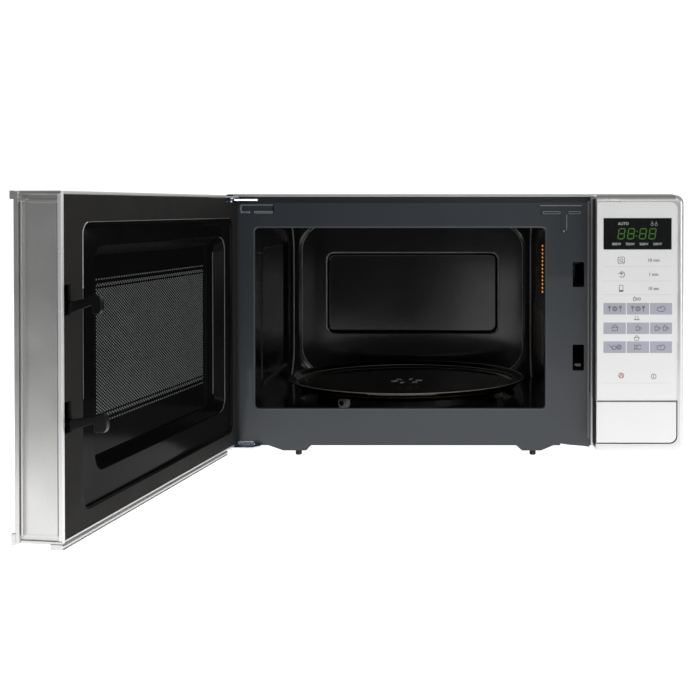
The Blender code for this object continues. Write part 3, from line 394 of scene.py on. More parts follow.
def steps_about(rectangle, rows):
    """Steps of a pressing, from rows of how far outside a rectangle, corner radius and depth."""
    return [(grown(rectangle, by), radius, depth) for by, radius, depth in rows]


def pressing(axis, steps, thickness):
    """A pressed pan or a ring of sheet: steps are (rectangle, radius, depth); thickness backs it."""
    front = [at_depth(rounded(rectangle, radius), axis, depth) for rectangle, radius, depth in steps]
    back = [
        at_depth(rounded(grown(rectangle, 0.01), radius), axis, depth + thickness)
        for rectangle, radius, depth in reversed(steps)
    ]
    return front, back


def pan(axis, steps, thickness):
    """A pressed pan of sheet, closed at its bottom."""
    front, back = pressing(axis, steps, thickness)
    return joined(loft([back[-1], *front], cap_last=True), loft(back, cap_first=True))


def hoop(axis, steps, thickness):
    """A ring of pressed sheet, open in the middle."""
    front, back = pressing(axis, steps, thickness)
    return loft([*front, *back], ring=True)


def rod(path, radius):
    """A round bar along a path."""
    curve = bpy.data.curves.new("rod", "CURVE")
    curve.dimensions = "3D"
    curve.bevel_depth = radius
    curve.bevel_resolution = 2
    curve.use_fill_caps = True
    spline = curve.splines.new("POLY")
    spline.points.add(len(path) - 1)
    for point, place in zip(spline.points, path):
        point.co = (*place, 1)
    return baked(curve)


def joined(*meshes, weld=True):
    """Several meshes as one; if they aren't welded, closed parts that touch stay closed."""
    bm = bmesh.new()
    for mesh in meshes:
        bm.from_mesh(mesh)
    if weld:
        bmesh.ops.remove_doubles(bm, verts=bm.verts, dist=WELD)
        bmesh.ops.recalc_face_normals(bm, faces=bm.faces)
    return mesh_of(bm)


def turned(profile, segments=64, ring=False):
    """A profile of (radius, height) points turned about the Z axis; ring closes it on itself."""
    turns = [2 * math.pi * i / segments for i in range(segments)]
    loops = []
    for radius, height in profile:
        reach = max(radius, 1e-3)
        loops.append([(reach * math.cos(t), reach * math.sin(t), height) for t in turns])
    return loft(loops, cap_first=not ring, cap_last=not ring, ring=ring)


def moved(mesh, *matrices):
    """The mesh itself, after the moves in turn."""
    for matrix in matrices:
        mesh.transform(matrix)
    return mesh


def block(low, high, bevel=0.3):
    """A box between two corners, with rounded edges."""
    outline = rounded((low[0], low[1], high[0], high[1]), bevel, 2)
    return slab([outline], "z", low[2], high[2], bevel)


def piece(name, mesh, body, slot, stands_for=(), place=None, finish=None):
    """A visible piece of the object, riding on a CAD body; the door's pieces are drawn with it shut."""
    mesh.transform(place or (LEAF if body in ("door", "latch") else CABINET))
    mesh.materials.clear()
    mesh.materials.append(finish or SLOTS[slot])
    mesh.shade_smooth()
    mesh.set_sharp_from_angle(angle=SHARP_EDGE)
    shape = placed(name, mesh)
    weighted = shape.modifiers.new("Weighted normals", "WEIGHTED_NORMAL")
    weighted.keep_sharp = True
    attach(shape, body)
    if stands_for:
        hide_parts(*stands_for)
    return shape


# ------------------------------------------------------------------ cabinet


def front_face():
    """The painted steel front: rounded mouth, latch slots, pressed bars and the recessed band on top."""
    face = (1.1, 17.0, 441.9, 249.4)
    bar = (17.0, 239.3, 49.8, 247.6)
    tee = [(309, 238.5), (329, 238.5), (329, 221), (335.2, 221), (335.2, 238.5), (350, 238.5), (350, 247),
           (309, 247)]
    board_window, spring_hole = rounded((372, 76, 436, 236), 1.0, 2), circle(408, 42, 6.5)
    holes = [rounded(OPENING, 3.5)]
    holes += [rounded((341.0, low, 351.8, high), 0.8, 3) for low, high in LATCH_SLOTS_PLATE]
    holes += [rounded(bar, 1.6, 3), tee, board_window, spring_hole]
    sheet = slab([rounded(face, 0.6, 2), *holes], "y", 0, 0.8, 0.3)
    shelf = slab([[(1.1, 0.1), (441.9, 0.1), (441.9, 6.0), (1.1, 6.0)]], "z", 248.6, 249.4, 0.25)
    band = slab([rounded((1.1, 248.8, 441.9, 256.6), (0.1, 5, 5, 0.1), 4)], "y", 5.2, 6.0, 0.25)
    bar_floor = pan("y", [(grown(bar, 0.9), 2.2, 0.5), (bar, 1.6, 0.6), (grown(bar, -1.4), 1.2, 1.9)], 0.6)
    tee_floor = slab([[(308, 237.5), (328, 237.5), (328, 220), (336.2, 220), (336.2, 237.5), (351, 237.5),
                       (351, 248), (308, 248)]], "y", 1.9, 2.6, 0.2)
    foot_lip = slab([[(296, 17.4), (296, 15.9), (322, 15.4), (338, 13.2), (351, 12.2), (357.5, 11.2),
                      (357.5, 17.4)]], "y", 0.9, 2.2, 0.3)
    plate = joined(sheet, shelf, band, foot_lip, bar_floor, tee_floor)
    piece("front_face", plate, "cabinet", "plate_paint", ["front_plate"])
    # The mouth's rolled lip, painted a lighter grey than the plate as a highlight along its rim
    lip = ((1.5, 5.0, -0.05), (0.7, 4.2, -0.25), (0.15, 3.6, -0.1), (-0.3, 3.4, 0.5), (-0.35, 3.4, 2.4))
    lip_steps = steps_about(OPENING, lip)
    piece("mouth_lip", hoop("y", lip_steps, 0.35), "cabinet", "plate_paint", finish=LIP_HIGHLIGHT)
    # Pale strips round the pressed bars and along the tee, painted as the highlights on their edges
    edges = []
    for pill in ((311.9, 238.7, 328.7, 241.2), (336.8, 238.7, 348.8, 241.2), (30.5, 239.4, 48.9, 241.4),
                 (18.0, 239.4, 26.5, 240.9)):
        edges.append(slab([rounded(pill, 1.0, 5), rounded(grown(pill, -0.42), 0.6, 5)], "y", 0.15, 1.6, 0.12))
    for line in ((334.7, 222.6, 335.2, 238.4), (309.3, 246.5, 349.7, 247.0), (17.4, 247.2, 49.4, 247.6)):
        edges.append(slab([rounded(line, 0.12, 2)], "y", 0.1, 1.6, 0.1))
    edges.append(slab([circle(332.3, 221.9, 0.9)], "y", 0.1, 1.7, 0.2))
    piece("pressed_edge_highlights", joined(*edges, weld=False), "cabinet", "plate_paint", finish=EDGE_HIGHLIGHT)


def cavity_pressings():
    """Pressed panels of the oven's back and left walls."""
    back, side = CAVITY_BACK, CAVITY[0]
    rows = ((1.5, 10.5, back - 0.55), (0.3, 9.4, back - 0.6), (-1.2, 8.4, back + 0.4),
            (-2.8, 7.0, back + 2.0), (-4.0, 6.0, back + 2.3))
    piece("back_pressing", pan("y", steps_about(BACK_PRESSING, rows), 0.3), "cabinet", "black_enamel")
    rows = ((1.2, 10, side + 0.55), (0.2, 9.2, side + 0.6), (-1.2, 8.2, side - 0.4),
            (-3.0, 6.6, side - 2.2), (-4.2, 5.6, side - 2.4))
    piece("side_pressing", pan("x", steps_about(SIDE_PRESSING, rows), -0.3), "cabinet", "black_enamel")


def cavity_corners():
    """The flared strips in the back corners, with pale grey beads down their edges and round the pressing, painted
    as highlights.
    """
    left, floor, right, ceiling = CAVITY
    low, high = floor + 0.5, ceiling - 0.5
    strips, beads = [], []
    for wall, way, start in ((left, 1, 180), (right, -1, 0)):
        rows = []
        for i in range(61):
            z = low + (high - low) * i / 60
            width = 8.5 + flare(z - floor) + flare(ceiling - z)
            centre = (wall + way * (width + 0.3), CAVITY_BACK - 0.3 - width)
            rows.append([(x, y, z) for x, y in arc(centre, width, start, 90, 10)])
        strips.append(loft(rows, cyclic=False))
        beads += [rod([row[end] for row in rows], 0.5) for end in (0, -1)]
    for name, strip in zip(("corner_strip_left", "corner_strip_right"), strips):
        strip_piece = piece(name, strip, "cabinet", "black_enamel", finish=CORNER_ENAMEL)
        solidify = strip_piece.modifiers.new("Solidify", "SOLIDIFY")
        solidify.thickness = 0.9 * MM
        solidify.offset = 0.0
    west, south, east, north = grown(BACK_PRESSING, -9)
    outline = (*arc((west, south), 9, 230, 180, 6), *arc((west, north), 9, 180, 90, 8),
               *arc((east, north), 9, 90, 0, 8), *arc((east, south), 9, 0, -50, 6))
    beads.append(rod([(x, CAVITY_BACK - 0.5, z) for x, z in outline], 0.8))
    piece("enamel_highlight_beads", joined(*beads, weld=False), "cabinet", "black_enamel", finish=BEAD_HIGHLIGHT)


def flare(distance, radius=33.0):
    """How much wider a corner strip is, this far from the oven's floor or ceiling."""
    return radius - math.sqrt(radius**2 - (radius - distance) ** 2) if distance < radius else 0.0


def lamp_lights():
    """The lamp's light, in the rows of holes of the right wall."""
    right = CAVITY[2]
    dome = [(1.0, 0), (0.95, 0.3), (0.65, 0.5), (0.25, 0.6)]
    lights = []
    for i in range(2):
        for j in range(13):
            spot = Matrix.Translation((right + 0.1, 54.0 + 5.0 * i, 159.0 + 3.9 * j))
            lights.append(moved(turned(dome, 12), Matrix.Rotation(math.radians(-90), 4, "Y"), spot))
    piece("lamp_lights", joined(*lights), "cabinet", "glass", finish=LAMP_LIGHT)


def turntable():
    """Glass plate with its rolled rim and the pressed seats of the coupler, and the three rollers."""
    low, rim = PLATE_UNDERSIDE, RIM_TOP
    profile = [
        (0, low + 4), (60, low + 4), (110, low + 4.1), (115, low + 4.6), (118.5, low + 6.0),
        (121.5, rim - 1.6), (123.5, rim - 0.5), (125.5, rim), (126.8, rim - 0.3), (PLATE_RADIUS, rim - 1.2),
        (PLATE_RADIUS - 0.3, rim - 2.4), (124.5, rim - 3.4), (120.5, low + 2.0), (117.5, low + 0.4),
        (114, low), (60, low), (19, low), (18.5, low - 2.6), (18, low - 2.9), (15.5, low - 2.9),
        (15, low - 2.6), (14.5, low), (0, low),
    ]
    centre = Matrix.Translation((*TURNTABLE, 0))
    plate = moved(turned(profile, 144), centre)
    piece("turntable_glass", plate, "turntable", "glass", ["turntable_plate"], finish=TABLE_GLASS)
    # Thin opaque rings at the rim's crest and foot, painted highlights
    rims = []
    for radius, height, thick in ((126.9, rim - 0.75, 0.5), (118.6, low + 5.9, 0.4)):
        loop = [(r + radius, h + height) for r, h in circle(0, 0, thick, 0, 315, 7)]
        rims.append(moved(turned(loop, 144, ring=True), centre))
    piece("turntable_rims", joined(*rims, weld=False), "turntable", "glass", finish=RIM_HIGHLIGHT)
    # Pale opaque bars at the coupler's seats, painted highlights
    marks = []
    for i in range(6):
        bar = block((10, -1.2, low + 4.02), (17, 1.2, low + 4.5), 0.2)
        marks.append(moved(bar, Matrix.Rotation(math.radians(60 * i + 12), 4, "Z"), centre))
    piece("turntable_marks", joined(*marks), "turntable", "glass", finish=MARK_HIGHLIGHT)
    wheel = [
        (2.1, -3.2), (3.0, -3.2), (3.2, -2.6), (4.5, -2.2), (5.3, -2.9), (6.0, -2.7), (6.1, -2.3), (6.1, 2.3),
        (6.0, 2.7), (5.3, 2.9), (4.5, 2.2), (3.2, 2.6), (3.0, 3.0), (2.1, 3.0),
    ]
    for i in range(3):
        low_corner, high_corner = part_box(f"roller_{i + 1}")
        middle = (low_corner + high_corner) / 2
        out = middle - CABINET @ Vector((*TURNTABLE, 0))
        out.z = 0
        turn = out.to_track_quat("Z", "X").to_matrix().to_4x4()
        place = Matrix.Translation(middle) @ turn @ Matrix.Scale(MM, 4)
        mesh, body = turned(wheel, 48, ring=True), "roller_" + "abc"[i]
        piece(f"roller_wheel_{i + 1}", mesh, body, "white_nylon", [f"roller_{i + 1}"], place)


def feet():
    """Ribbed rubber feet, in the places of the CAD's."""
    profile = [
        (0, 7.25), (3.0, 7.25), (3.15, 7.0), (3.15, 4.2), (2.9, 4.0), (2.9, 3.6), (3.15, 3.4), (3.15, 1.0),
        (2.9, 0.5), (2.4, 0.02), (0, 0.02),
    ]
    for side in ("front_left", "front_right", "rear_left", "rear_right"):
        low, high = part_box("foot_" + side)
        centre = (low + high) / 2
        place = Matrix.Translation((centre.x, centre.y, low.z)) @ Matrix.Scale(MM, 4)
        piece("rubber_foot_" + side, turned(profile, 40), "cabinet", "rubber", ["foot_" + side], place)


def screws():
    """Pan-head screws with cross slots that hold the cover and the rear panel."""
    head = [(0, 1.55), (1.4, 1.5), (2.8, 1.1), (3.5, 0.3), (3.6, 0.0), (0, 0)]
    spots = [(8, z) for z in (60, 150, 240)] + [(435, z) for z in (60, 150, 240)]
    spots += [(110, 250), (220, 250), (330, 250), (110, 22), (330, 22)]
    backwards = Matrix.Rotation(math.radians(-90), 4, "X")
    heads = []
    for x, z in spots:
        cross = [block((-a, -b, 1.35), (a, b, 1.62), 0.1) for a, b in ((1.9, 0.35), (0.35, 1.9))]
        screw = joined(turned(head, 28), *cross)
        heads.append(moved(screw, backwards, Matrix.Translation((x, 301.6, z))))
    piece("rear_screws", joined(*heads), "cabinet", "zinc_plate")


# ------------------------------------------------------------------ control panel


# The bezel's rolled front edge: inset at its left, inset elsewhere, and depth behind its face
ROLL = (
    (1.0, 5.6, 0.0), (0.85, 4.4, 0.07), (0.7, 3.2, 0.3), (0.5, 2.1, 0.75), (0.3, 1.2, 1.45), (0.1, 0.5, 2.3),
    (0, 0, 3.6),
)


def panel_bezel():
    """The moulded silver bezel: rounded front edges, a side wall that flares towards the plate."""
    front = -FRONT_DEPTH
    left, bottom, right, top = PANEL

    def level(side, edge, depth):
        radii = (8.0 - edge * 0.8, 8.0 - edge * 0.8, 1.5, 1.5)
        return at_depth(rounded((left + side, bottom + edge, right - edge, top - edge), radii), "y", depth)

    inner_left, inner_right, gap = left + 0.95, right - 5.3, 0.7
    c_shape = [
        (inner_left, bottom + 5.3), *arc((inner_right - 3.8, bottom + 9.1), 3.8, -90, 0, 6),
        *arc((inner_right - 3.8, top - 9.1), 3.8, 0, 90, 6), (inner_left, top - 5.3), (inner_left, KEYPAD[3]),
        *arc((KEYPAD[2] - 7, KEYPAD[3] - 7), 7, 90, 0, 8), (KEYPAD[2], KEYPAD[1]), (inner_left, KEYPAD[1]),
        (inner_left, BUTTON[3] + gap), (BUTTON[2] + gap, BUTTON[3] + gap),
        *arc((BUTTON[2] + gap - 7.4, BUTTON[1] - gap + 7.4), 7.4, 0, -90, 8), (inner_left, BUTTON[1] - gap),
    ]
    face = slab([c_shape], "y", front + 0.02, front + 1.6, 0.15)
    steps = [level(side, edge, front + back) for side, edge, back in ROLL]
    steps += [level(0, 0, -10.0), level(-1.6, 0, -8.0), level(-1.6, 0, -0.6), level(-0.1, 1.8, -0.6),
              level(-0.1, 1.8, -8.6), level(1.8, 1.8, -11.0), level(1.8, 6.0, front + 1.6)]
    shell = loft(steps, ring=True)
    wide, narrow = (
        rounded(grown(BUTTON, gap), (7.0 + gap, 0.6 + gap, 0.6 + gap, 0.6 + gap)) for gap in (0.85, 0.2)
    )
    levels = ((wide, 0.35), (narrow, 0.35), (narrow, 1.5), (wide, 1.5))
    well = loft([at_depth(outline, "y", front + back) for outline, back in levels], ring=True)
    # The walls of the gap round the button are near-black as painted shade
    piece("button_gap", well, "cabinet", "matt_black", finish=HOOK_PLASTIC_AND_GAP_SHADE)
    # The keypad's edge bead, in the lighter silver as a painted highlight
    corner = arc((KEYPAD[2] - 7, KEYPAD[3] - 7), 7, 90, 0, 8)
    edge = [(KEYPAD[0] + 0.6, KEYPAD[3]), *corner, (KEYPAD[2], KEYPAD[1] + 1)]
    bead = rod([(x, front - 0.02, z) for x, z in edge], 0.24)
    piece("keypad_edge", bead, "cabinet", "white_silver", finish=HIGHLIGHT_RIB)
    backing = slab([rounded(grown(KEYPAD, 0.4), (0.6, 7.2, 0.6, 0.6)), rounded(grown(DISPLAY, -2.0), 0.5)],
                   "y", front + 0.95, front + 2.4, 0.1)
    piece("panel_bezel", joined(face, shell, backing), "cabinet", "silver_plastic", ["control_panel_bezel"])


def panel_trims():
    """The panel's side wall painted dark as shade, the band along its top painted duller as shade, and the trims
    beside the plate, silver painted grey as shade.
    """
    left, _, right, top = PANEL
    slope = [(357.0, -0.6), (359.0, -8.2), (359.6, -8.2), (359.6, -0.6)]
    wall = [(359.12, -9.6), (359.45, -9.6), (359.45, -32.4), (359.12, -32.4)]
    slopes = [slab([slope], "z", 66.0, 249.6, 0.15), slab([wall], "z", 18.0, 253.0, 0.08)]
    # A near-black sheet over the silver side wall and its slope, painted shade
    piece("side_slope", joined(*slopes, weld=False), "cabinet", "matt_black", finish=SHADED_WALL)
    crown = [(back - FRONT_DEPTH - 0.06, top - edge + 0.03) for _, edge, back in ROLL[1:]]
    crown += [(back - FRONT_DEPTH + 0.4, top - edge - 0.3) for _, edge, back in reversed(ROLL[1:])]
    # The top band in a darker silver, painted shade
    band = slab([crown], "x", left + 1.0, right - 8.2, 0.04)
    piece("top_band", band, "cabinet", "silver_plastic", finish=SHADED_BAND)
    flange = [(355.3, -0.46), (357.1, -0.46), (357.1, -0.06), (355.3, -0.06)]
    edge = [(358.7, -8.9), (359.5, -8.9), (359.5, -11.5), (358.9, -11.5)]
    low_slope = [(356.9, -0.6), (358.9, -9.4), (359.8, -9.4), (359.8, -0.6)]
    trims = [slab([flange], "z", 20.0, 251.0, 0.12), slab([edge], "z", 62.0, 251.4, 0.2),
             slab([low_slope], "z", 19.0, 64.6, 0.2), slab([low_slope], "z", 250.0, 252.2, 0.2)]
    # The silver trims in grey, painted shade
    piece("side_trim", joined(*trims, weld=False), "cabinet", "silver_plastic", finish=SHADED_TRIM)


def seven_segments(x, z, width, height, thick, slant=0.14):
    """Outlines of a lit figure eight, its lower left corner at x, z."""
    half, t, gap = height / 2, thick / 2, 0.25
    first, last = gap + t, width - gap - t
    outlines = []
    for level in (t, half, height - t):
        outlines.append([(first, level), (first + t, level + t), (last - t, level + t), (last, level),
                         (last - t, level - t), (first + t, level - t)])
    for side in (t, width - t):
        for low, high in ((first, half - gap), (half + gap, height - gap - t)):
            outlines.append([(side, low), (side + t, low + t), (side + t, high - t), (side, high),
                             (side - t, high - t), (side - t, low + t)])
    return [[(x + a + slant * b, z + b) for a, b in outline] for outline in outlines]


def ribbon(points, width):
    """Outlines of a stroke of even width along a polyline, one for each straight run."""
    outlines = []
    for (x0, z0), (x1, z1) in zip(points, points[1:]):
        length = math.hypot(x1 - x0, z1 - z0)
        if length < 1e-6:
            continue
        ux, uz = (x1 - x0) / length * width / 2, (z1 - z0) / length * width / 2
        outlines.append([(x0 - ux - uz, z0 - uz + ux), (x0 - ux + uz, z0 - uz - ux),
                         (x1 + ux + uz, z1 + uz - ux), (x1 + ux - uz, z1 + uz + ux)])
    return outlines


def printed(name, outlines, low, high, finish, slot="white_silver"):
    """Ink: flat outlines made into thin raised film on the panel's front."""
    films = [
        loft([at_depth(outline, "y", depth) for depth in (low, high)], cap_first=True, cap_last=True)
        for outline in outlines
    ]
    piece(name, joined(*films, weld=False), "cabinet", slot, finish=finish)


def lettering(name, words, low, finish, slot):
    """Figures and units set in the plain built-in typeface; words are (text, x, z, size)."""
    films = []
    for text, x, z, size in words:
        curve = bpy.data.curves.new(name, "FONT")
        curve.body = text
        curve.size = size
        curve.align_x = "CENTER"
        curve.align_y = "CENTER"
        curve.extrude = 0.03
        curve.offset = 0.012 * size
        mesh = baked(curve)
        films.append(moved(mesh, ACROSS["y"], Matrix.Translation((x, low - 0.03, z))))
    piece(name, joined(*films, weld=False), "cabinet", slot, finish=finish)


def dish(x, z):
    return [circle(x, z, 1.7), circle(x, z, 0.9, steps=10)]


def fork(x, z):
    tines = [(x - 0.7, z + 2), (x - 0.7, z + 0.6), (x + 0.7, z + 0.6), (x + 0.7, z + 2)]
    return [[(x, z - 2), (x, z + 2)], tines]


def bowl(x, z, rim, foot, high, low):
    first = (x - rim, z + high)
    return [first, (x - foot, z - low), (x + foot, z - low), (x + rim, z + high), first]


def cup(x, z):
    steam = [(x - 0.4, z + 1.8), (x + 0.1, z + 2.6)]
    return [bowl(x, z, 1.4, 1.0, 1.2, 1.4), circle(x + 1.8, z, 0.7, -90, 90, 6), steam]


def pot(x, z):
    return [bowl(x, z, 2.2, 1.8, 0.8, 1.8), circle(x, z + 1.0, 1.4, 0, 180, 8)]


def heap(x, z):
    return [circle(x - 1.3, z - 0.4, 1.5, 20, 260, 10), circle(x + 1.2, z - 0.2, 1.8, -90, 150, 10),
            [(x - 1.4, z - 1.9), (x + 1.2, z - 2.0)]]


def fish(x, z):
    tail = [(x - 0.6, z + 1.0), (x - 2.6, z + 1.8), (x - 2.2, z), (x - 2.6, z - 1.8), (x - 0.6, z - 1.0)]
    return [circle(x + 0.8, z, 1.7, 30, 330, 10), tail]


def leaf(x, z):
    return [[(x - 2.2, z + 1.6), (x - 0.6, z), (x + 0.8, z - 1.4)], circle(x + 1.4, z - 0.4, 1.5, steps=10)]


def key_icons():
    """Plain line drawings on the keys: a plate, cups, a dome and other generic kitchen things."""
    strokes = []
    (a, b, c), (upper, mid, lower) = (377.5, 399.3, 421.0), (149.4, 130.9, 113.0)
    layout = (
        fork(a - 4, upper) + dish(a, upper) + fork(a + 4, upper),
        fork(b - 4, upper) + dish(b, upper) + fork(b + 4, upper),
        heap(c, upper), pot(a, mid), cup(b, mid), cup(c - 3, mid) + cup(c + 3, mid),
        leaf(a - 2, lower) + dish(a + 3, lower), fish(b, lower), heap(c, lower),
    )
    size = 1.3
    for icon in layout:
        points = [point for stroke in icon for point in stroke]
        x0, z0 = ((min(p[i] for p in points) + max(p[i] for p in points)) / 2 for i in range(2))
        strokes += [[(x0 + size * (x - x0), z0 + size * (z - z0)) for x, z in stroke] for stroke in icon]
    middle = 398.2  # of the marks between the rows of keys
    strokes += cup(middle - 2, 158.3) + [circle(middle + 2.4, 158.6, 1.2, steps=8)]
    strokes += [circle(middle, 140.6, 1.6, 180, 360, 8), [(middle - 2.4, 139.0), (middle + 2.4, 139.0)],
                [(middle - 1, 141.5), (middle - 1, 142.5)], [(middle + 1, 141.5), (middle + 1, 142.5)]]
    strokes += pot(middle, 121.4)
    x = 383.4  # of the marks beside the times
    strokes += [rounded((x - 3, 192.2, x + 3, 198.2), 0.9, 2) + [(x + 3, 193.1)]]
    strokes += [circle(x, 195.2, 1.4, steps=8)]
    strokes += [circle(x + 0.6, 181.7, 2.6, -140, 140, 12), [(x - 2.6, 182.6), (x + 1.2, 182.6)],
                [(x, 183.6), (x + 1.2, 182.6), (x, 181.2)]]
    strokes += [[(x - 1.7, 171.6), (x - 1.7, 165.6), (x + 1.7, 165.6), (x + 1.7, 171.6), (x - 1.7, 171.6)],
                [(x - 1.7, 166.2), (x + 1.7, 166.2)], [(x - 1.7, 166.8), (x + 1.7, 166.8)]]
    strokes += [circle(414.2, 85.3, 2.3), [(414.2, 84.0), (414.2, 86.6)]]
    return [outline for stroke in strokes for outline in ribbon(stroke, 0.46)]


def keypad():
    """The printed membrane sheet, its key fields, marks and the lit display."""
    front = -FRONT_DEPTH
    sheet = slab([rounded(grown(KEYPAD, -0.3), (0.5, 6.7, 0.5, 0.5)), rounded(DISPLAY, 0.4, 2)],
                 "y", front, front + 0.6, 0.12)
    piece("keypad_sheet", sheet, "cabinet", "white_silver", ["keypad_overlay"])
    fields = []
    for bottom, top in ((143.9, 154.9), (125.5, 136.3), (107.5, 118.5)):
        for left, right in ((366.7, 387.9), (388.7, 409.9), (410.7, 431.5)):
            fields.append(rounded((left, bottom, right, top), 0.3, 1))
    printed("key_fields", fields, front + 0.02, front - 0.04, KEY_PRINT)
    printed("key_icons", key_icons(), front, front - 0.08, INK)
    stop = [circle(383.6, 86.2, 2.3), [(382.4, 85.2), (383.6, 87.4), (384.8, 85.2)]]
    stop = [outline for stroke in stop for outline in ribbon(stroke, 0.6)]
    printed("stop_mark", stop, front, front - 0.08, RED_INK)
    rules = [rounded((366.5, z - 0.16, 431.5, z + 0.16), 0.05, 1) for z in (189.1, 175.6, 162.7, 79.1)]
    printed("key_rules", rules, front + 0.02, front - 0.03, RULE_INK)
    words = [("10 min", 414.0, 195.1, 4.1), ("1 min", 414.0, 181.7, 4.1), ("10 sec", 414.0, 168.4, 4.1)]
    lettering("time_figures", words, front, INK, "white_silver")
    glass_face = front + 0.1
    window = slab([rounded(grown(DISPLAY, -0.3), 0.5, 2)], "y", glass_face, glass_face + 0.5, 0.1)
    piece("display_glass", window, "cabinet", "smoked_window", ["display_window"])
    figures = []
    for x in (379.6, 388.6, 399.8, 408.8):
        figures += seven_segments(x, 215.0, 6.6, 10.4, 0.85)
    figures += [circle(397.6, 218.2, 0.6, steps=8), circle(398.3, 222.6, 0.6, steps=8)]
    printed("lit_figures", figures, glass_face, glass_face - 0.06, DIGITS, "smoked_window")
    words = [("AUTO", 385.4, 229.6, 3.6)]
    words += [(watts, x, 210.4, 3.3) for watts, x in
              (("800W", 379.0), ("700W", 391.8), ("360W", 404.8), ("200W", 417.6))]
    lettering("power_figures", words, glass_face, PALE_INK, "smoked_window")
    marks = []
    for x in (412.6, 416.4):
        marks += ribbon(circle(x, 229.0, 1.2, steps=8), 0.4) + ribbon([(x, 230.6), (x, 231.8)], 0.4)
    printed("display_marks", marks, glass_face, glass_face - 0.06, PALE_INK, "smoked_window")


def door_button():
    """The wide push button at the panel's foot, with a rolled edge, and its stem."""
    front = 0.2 - FRONT_DEPTH
    radii, inner_radii = (7.0, 0.8, 0.8, 0.8), (5.2, 0.2, 0.2, 0.2)
    rows = [
        (-1.0, tuple(max(r - 1.0, 0.1) for r in radii), front),
        (-0.35, tuple(max(r - 0.4, 0.2) for r in radii), front + 0.25), (0.0, radii, front + 0.9),
        (0.0, radii, -23.0), (-1.8, inner_radii, -23.0), (-1.8, inner_radii, front + 2.0),
    ]
    loops = [at_depth(rounded(r, radius), "y", depth) for r, radius, depth in steps_about(BUTTON, rows)]
    stem = block((380, 1.2 - FRONT_DEPTH, 50), (386, 4.6, 56), 0.4)
    body = joined(loft(loops, cap_first=True, cap_last=True), stem, weld=False)
    piece("push_button", body, "button", "white_silver", ["door_button"])


# ------------------------------------------------------------------ door


def door_shell():
    """The silver moulding round the door: skin, ribbed free edge, hinge end, rails and foot trim."""
    front, right = -FRONT_DEPTH, DOOR_RIGHT
    skin = slab([rounded((1.2, 21.0, right - 0.3, 251.4), 1.0, 3), rounded(PANE, 6)],
                "y", front, -31.5, 0.5)
    hinge_end = [(17.4, -31.0), (17.4, -18.2), (3.4, -18.2), (1.2, -21.5), (1.2, -31.5)]
    knuckle = [(17.9, -18.0), (17.9, -0.9), *arc((8.7, -7.5), 6.8, 90, 180, 10), (3.2, -18.0)]
    bead = [(right - 4.5, front + 0.6), (right - 1, front), (right, front + 1), (right, -31.4),
            (right - 0.9, -31.0), (right - 4.5, -31.0)]
    thin = [(right - 4.5, -30.2), (right - 0.7, -30.2), (right - 0.2, -29.9), (right - 0.2, -28.9),
            (right - 0.7, -28.6), (right - 4.5, -28.6)]
    wall = [(right - 4.5, -31.4), (right - 2.6, -31.4), (right - 2.6, -2.0), (right - 4.5, -2.0)]
    plank = [(right - 4.4, -24.9), (right - 1.3, -24.9), (right - 1.3, -3.9), (right - 4.4, -3.9)]
    inner = [(right - 4.9, -3.6), (right - 2.1, -3.6), (right - 1.8, -3.3), (right - 1.8, -0.9),
             (right - 2.2, DOOR_BACK), (right - 4.9, DOOR_BACK)]
    runs = [
        slab([outline], "z", low, high, bevel) for outline, low, high, bevel in (
            (hinge_end, 15.0, 250.0, 0.4), (bead, 14.8, 256.4, 0.35), (thin, 20.0, 251.0, 0.25),
            (wall, 15.0, 256.0, 0.2), (plank, 21.0, 249.0, 0.5))
    ]
    # The inner rib in the lighter silver, a painted highlight along the door's free edge
    rib = slab([inner], "z", 14.8, 256.6, 0.3)
    piece("inner_rib", rib, "door", "silver_plastic", finish=HIGHLIGHT_RIB)
    piece("hinge_knuckle", slab([knuckle], "z", 15.0, 249.8, 0.4), "door", "matt_black")
    top = slab([rounded((1.4, -31.8, right - 1.2, -0.7), 0.6, 2)], "z", 254.2, 255.6, 0.3)
    notch = [(38.0, -31.6), (right - 1.2, -31.6), (right - 1.2, -0.6), (38.0, -0.6)]
    top_inner = slab([notch], "z", 254.4, 256.8, 0.4)
    sole = [(1.4, -31.8), (right - 1.2, -31.8), (right - 1.2, -0.8), (17.0, -0.8), (4.4, -19.0), (1.4, -21.5)]
    foot = slab([sole], "z", 14.7, 17.0, 0.3)
    rail = [(3.0, front - 2.5), (right, front - 2.5), (right, front + 0.8), (3.0, front + 0.8)]
    rails = [slab([rail], "z", low, high, 0.6) for low, high in ((250.6, 256.9), (13.2, 21.8))]
    ends = [block((right - 4.0, front + 0.4, 249.4), (right - 0.1, -25.6, 251.2), 0.3),
            block((right - 4.0, -25.4, 248.6), (right - 1.3, -3.4, 250.4), 0.3),
            block((right - 4.0, -25.4, 19.2), (right - 1.3, -3.4, 21.4), 0.3)]
    trim = [(-9, 11.1), (0.0, 11.1), (0.7, 11.5), (0.5, 12.1), (0.1, 12.5), (0.6, 13.0), (0.7, 13.9),
            (0.3, 14.6), (0.0, 15.2), (-9, 15.2)]
    bottom_trim = slab([trim], "x", 38.0, right - 0.5, 0.25)
    parts = [skin, *runs, top, top_inner, foot, *rails, *ends, bottom_trim]
    piece("door_shell", joined(*parts, weld=False), "door", "silver_plastic", ["door_frame"])


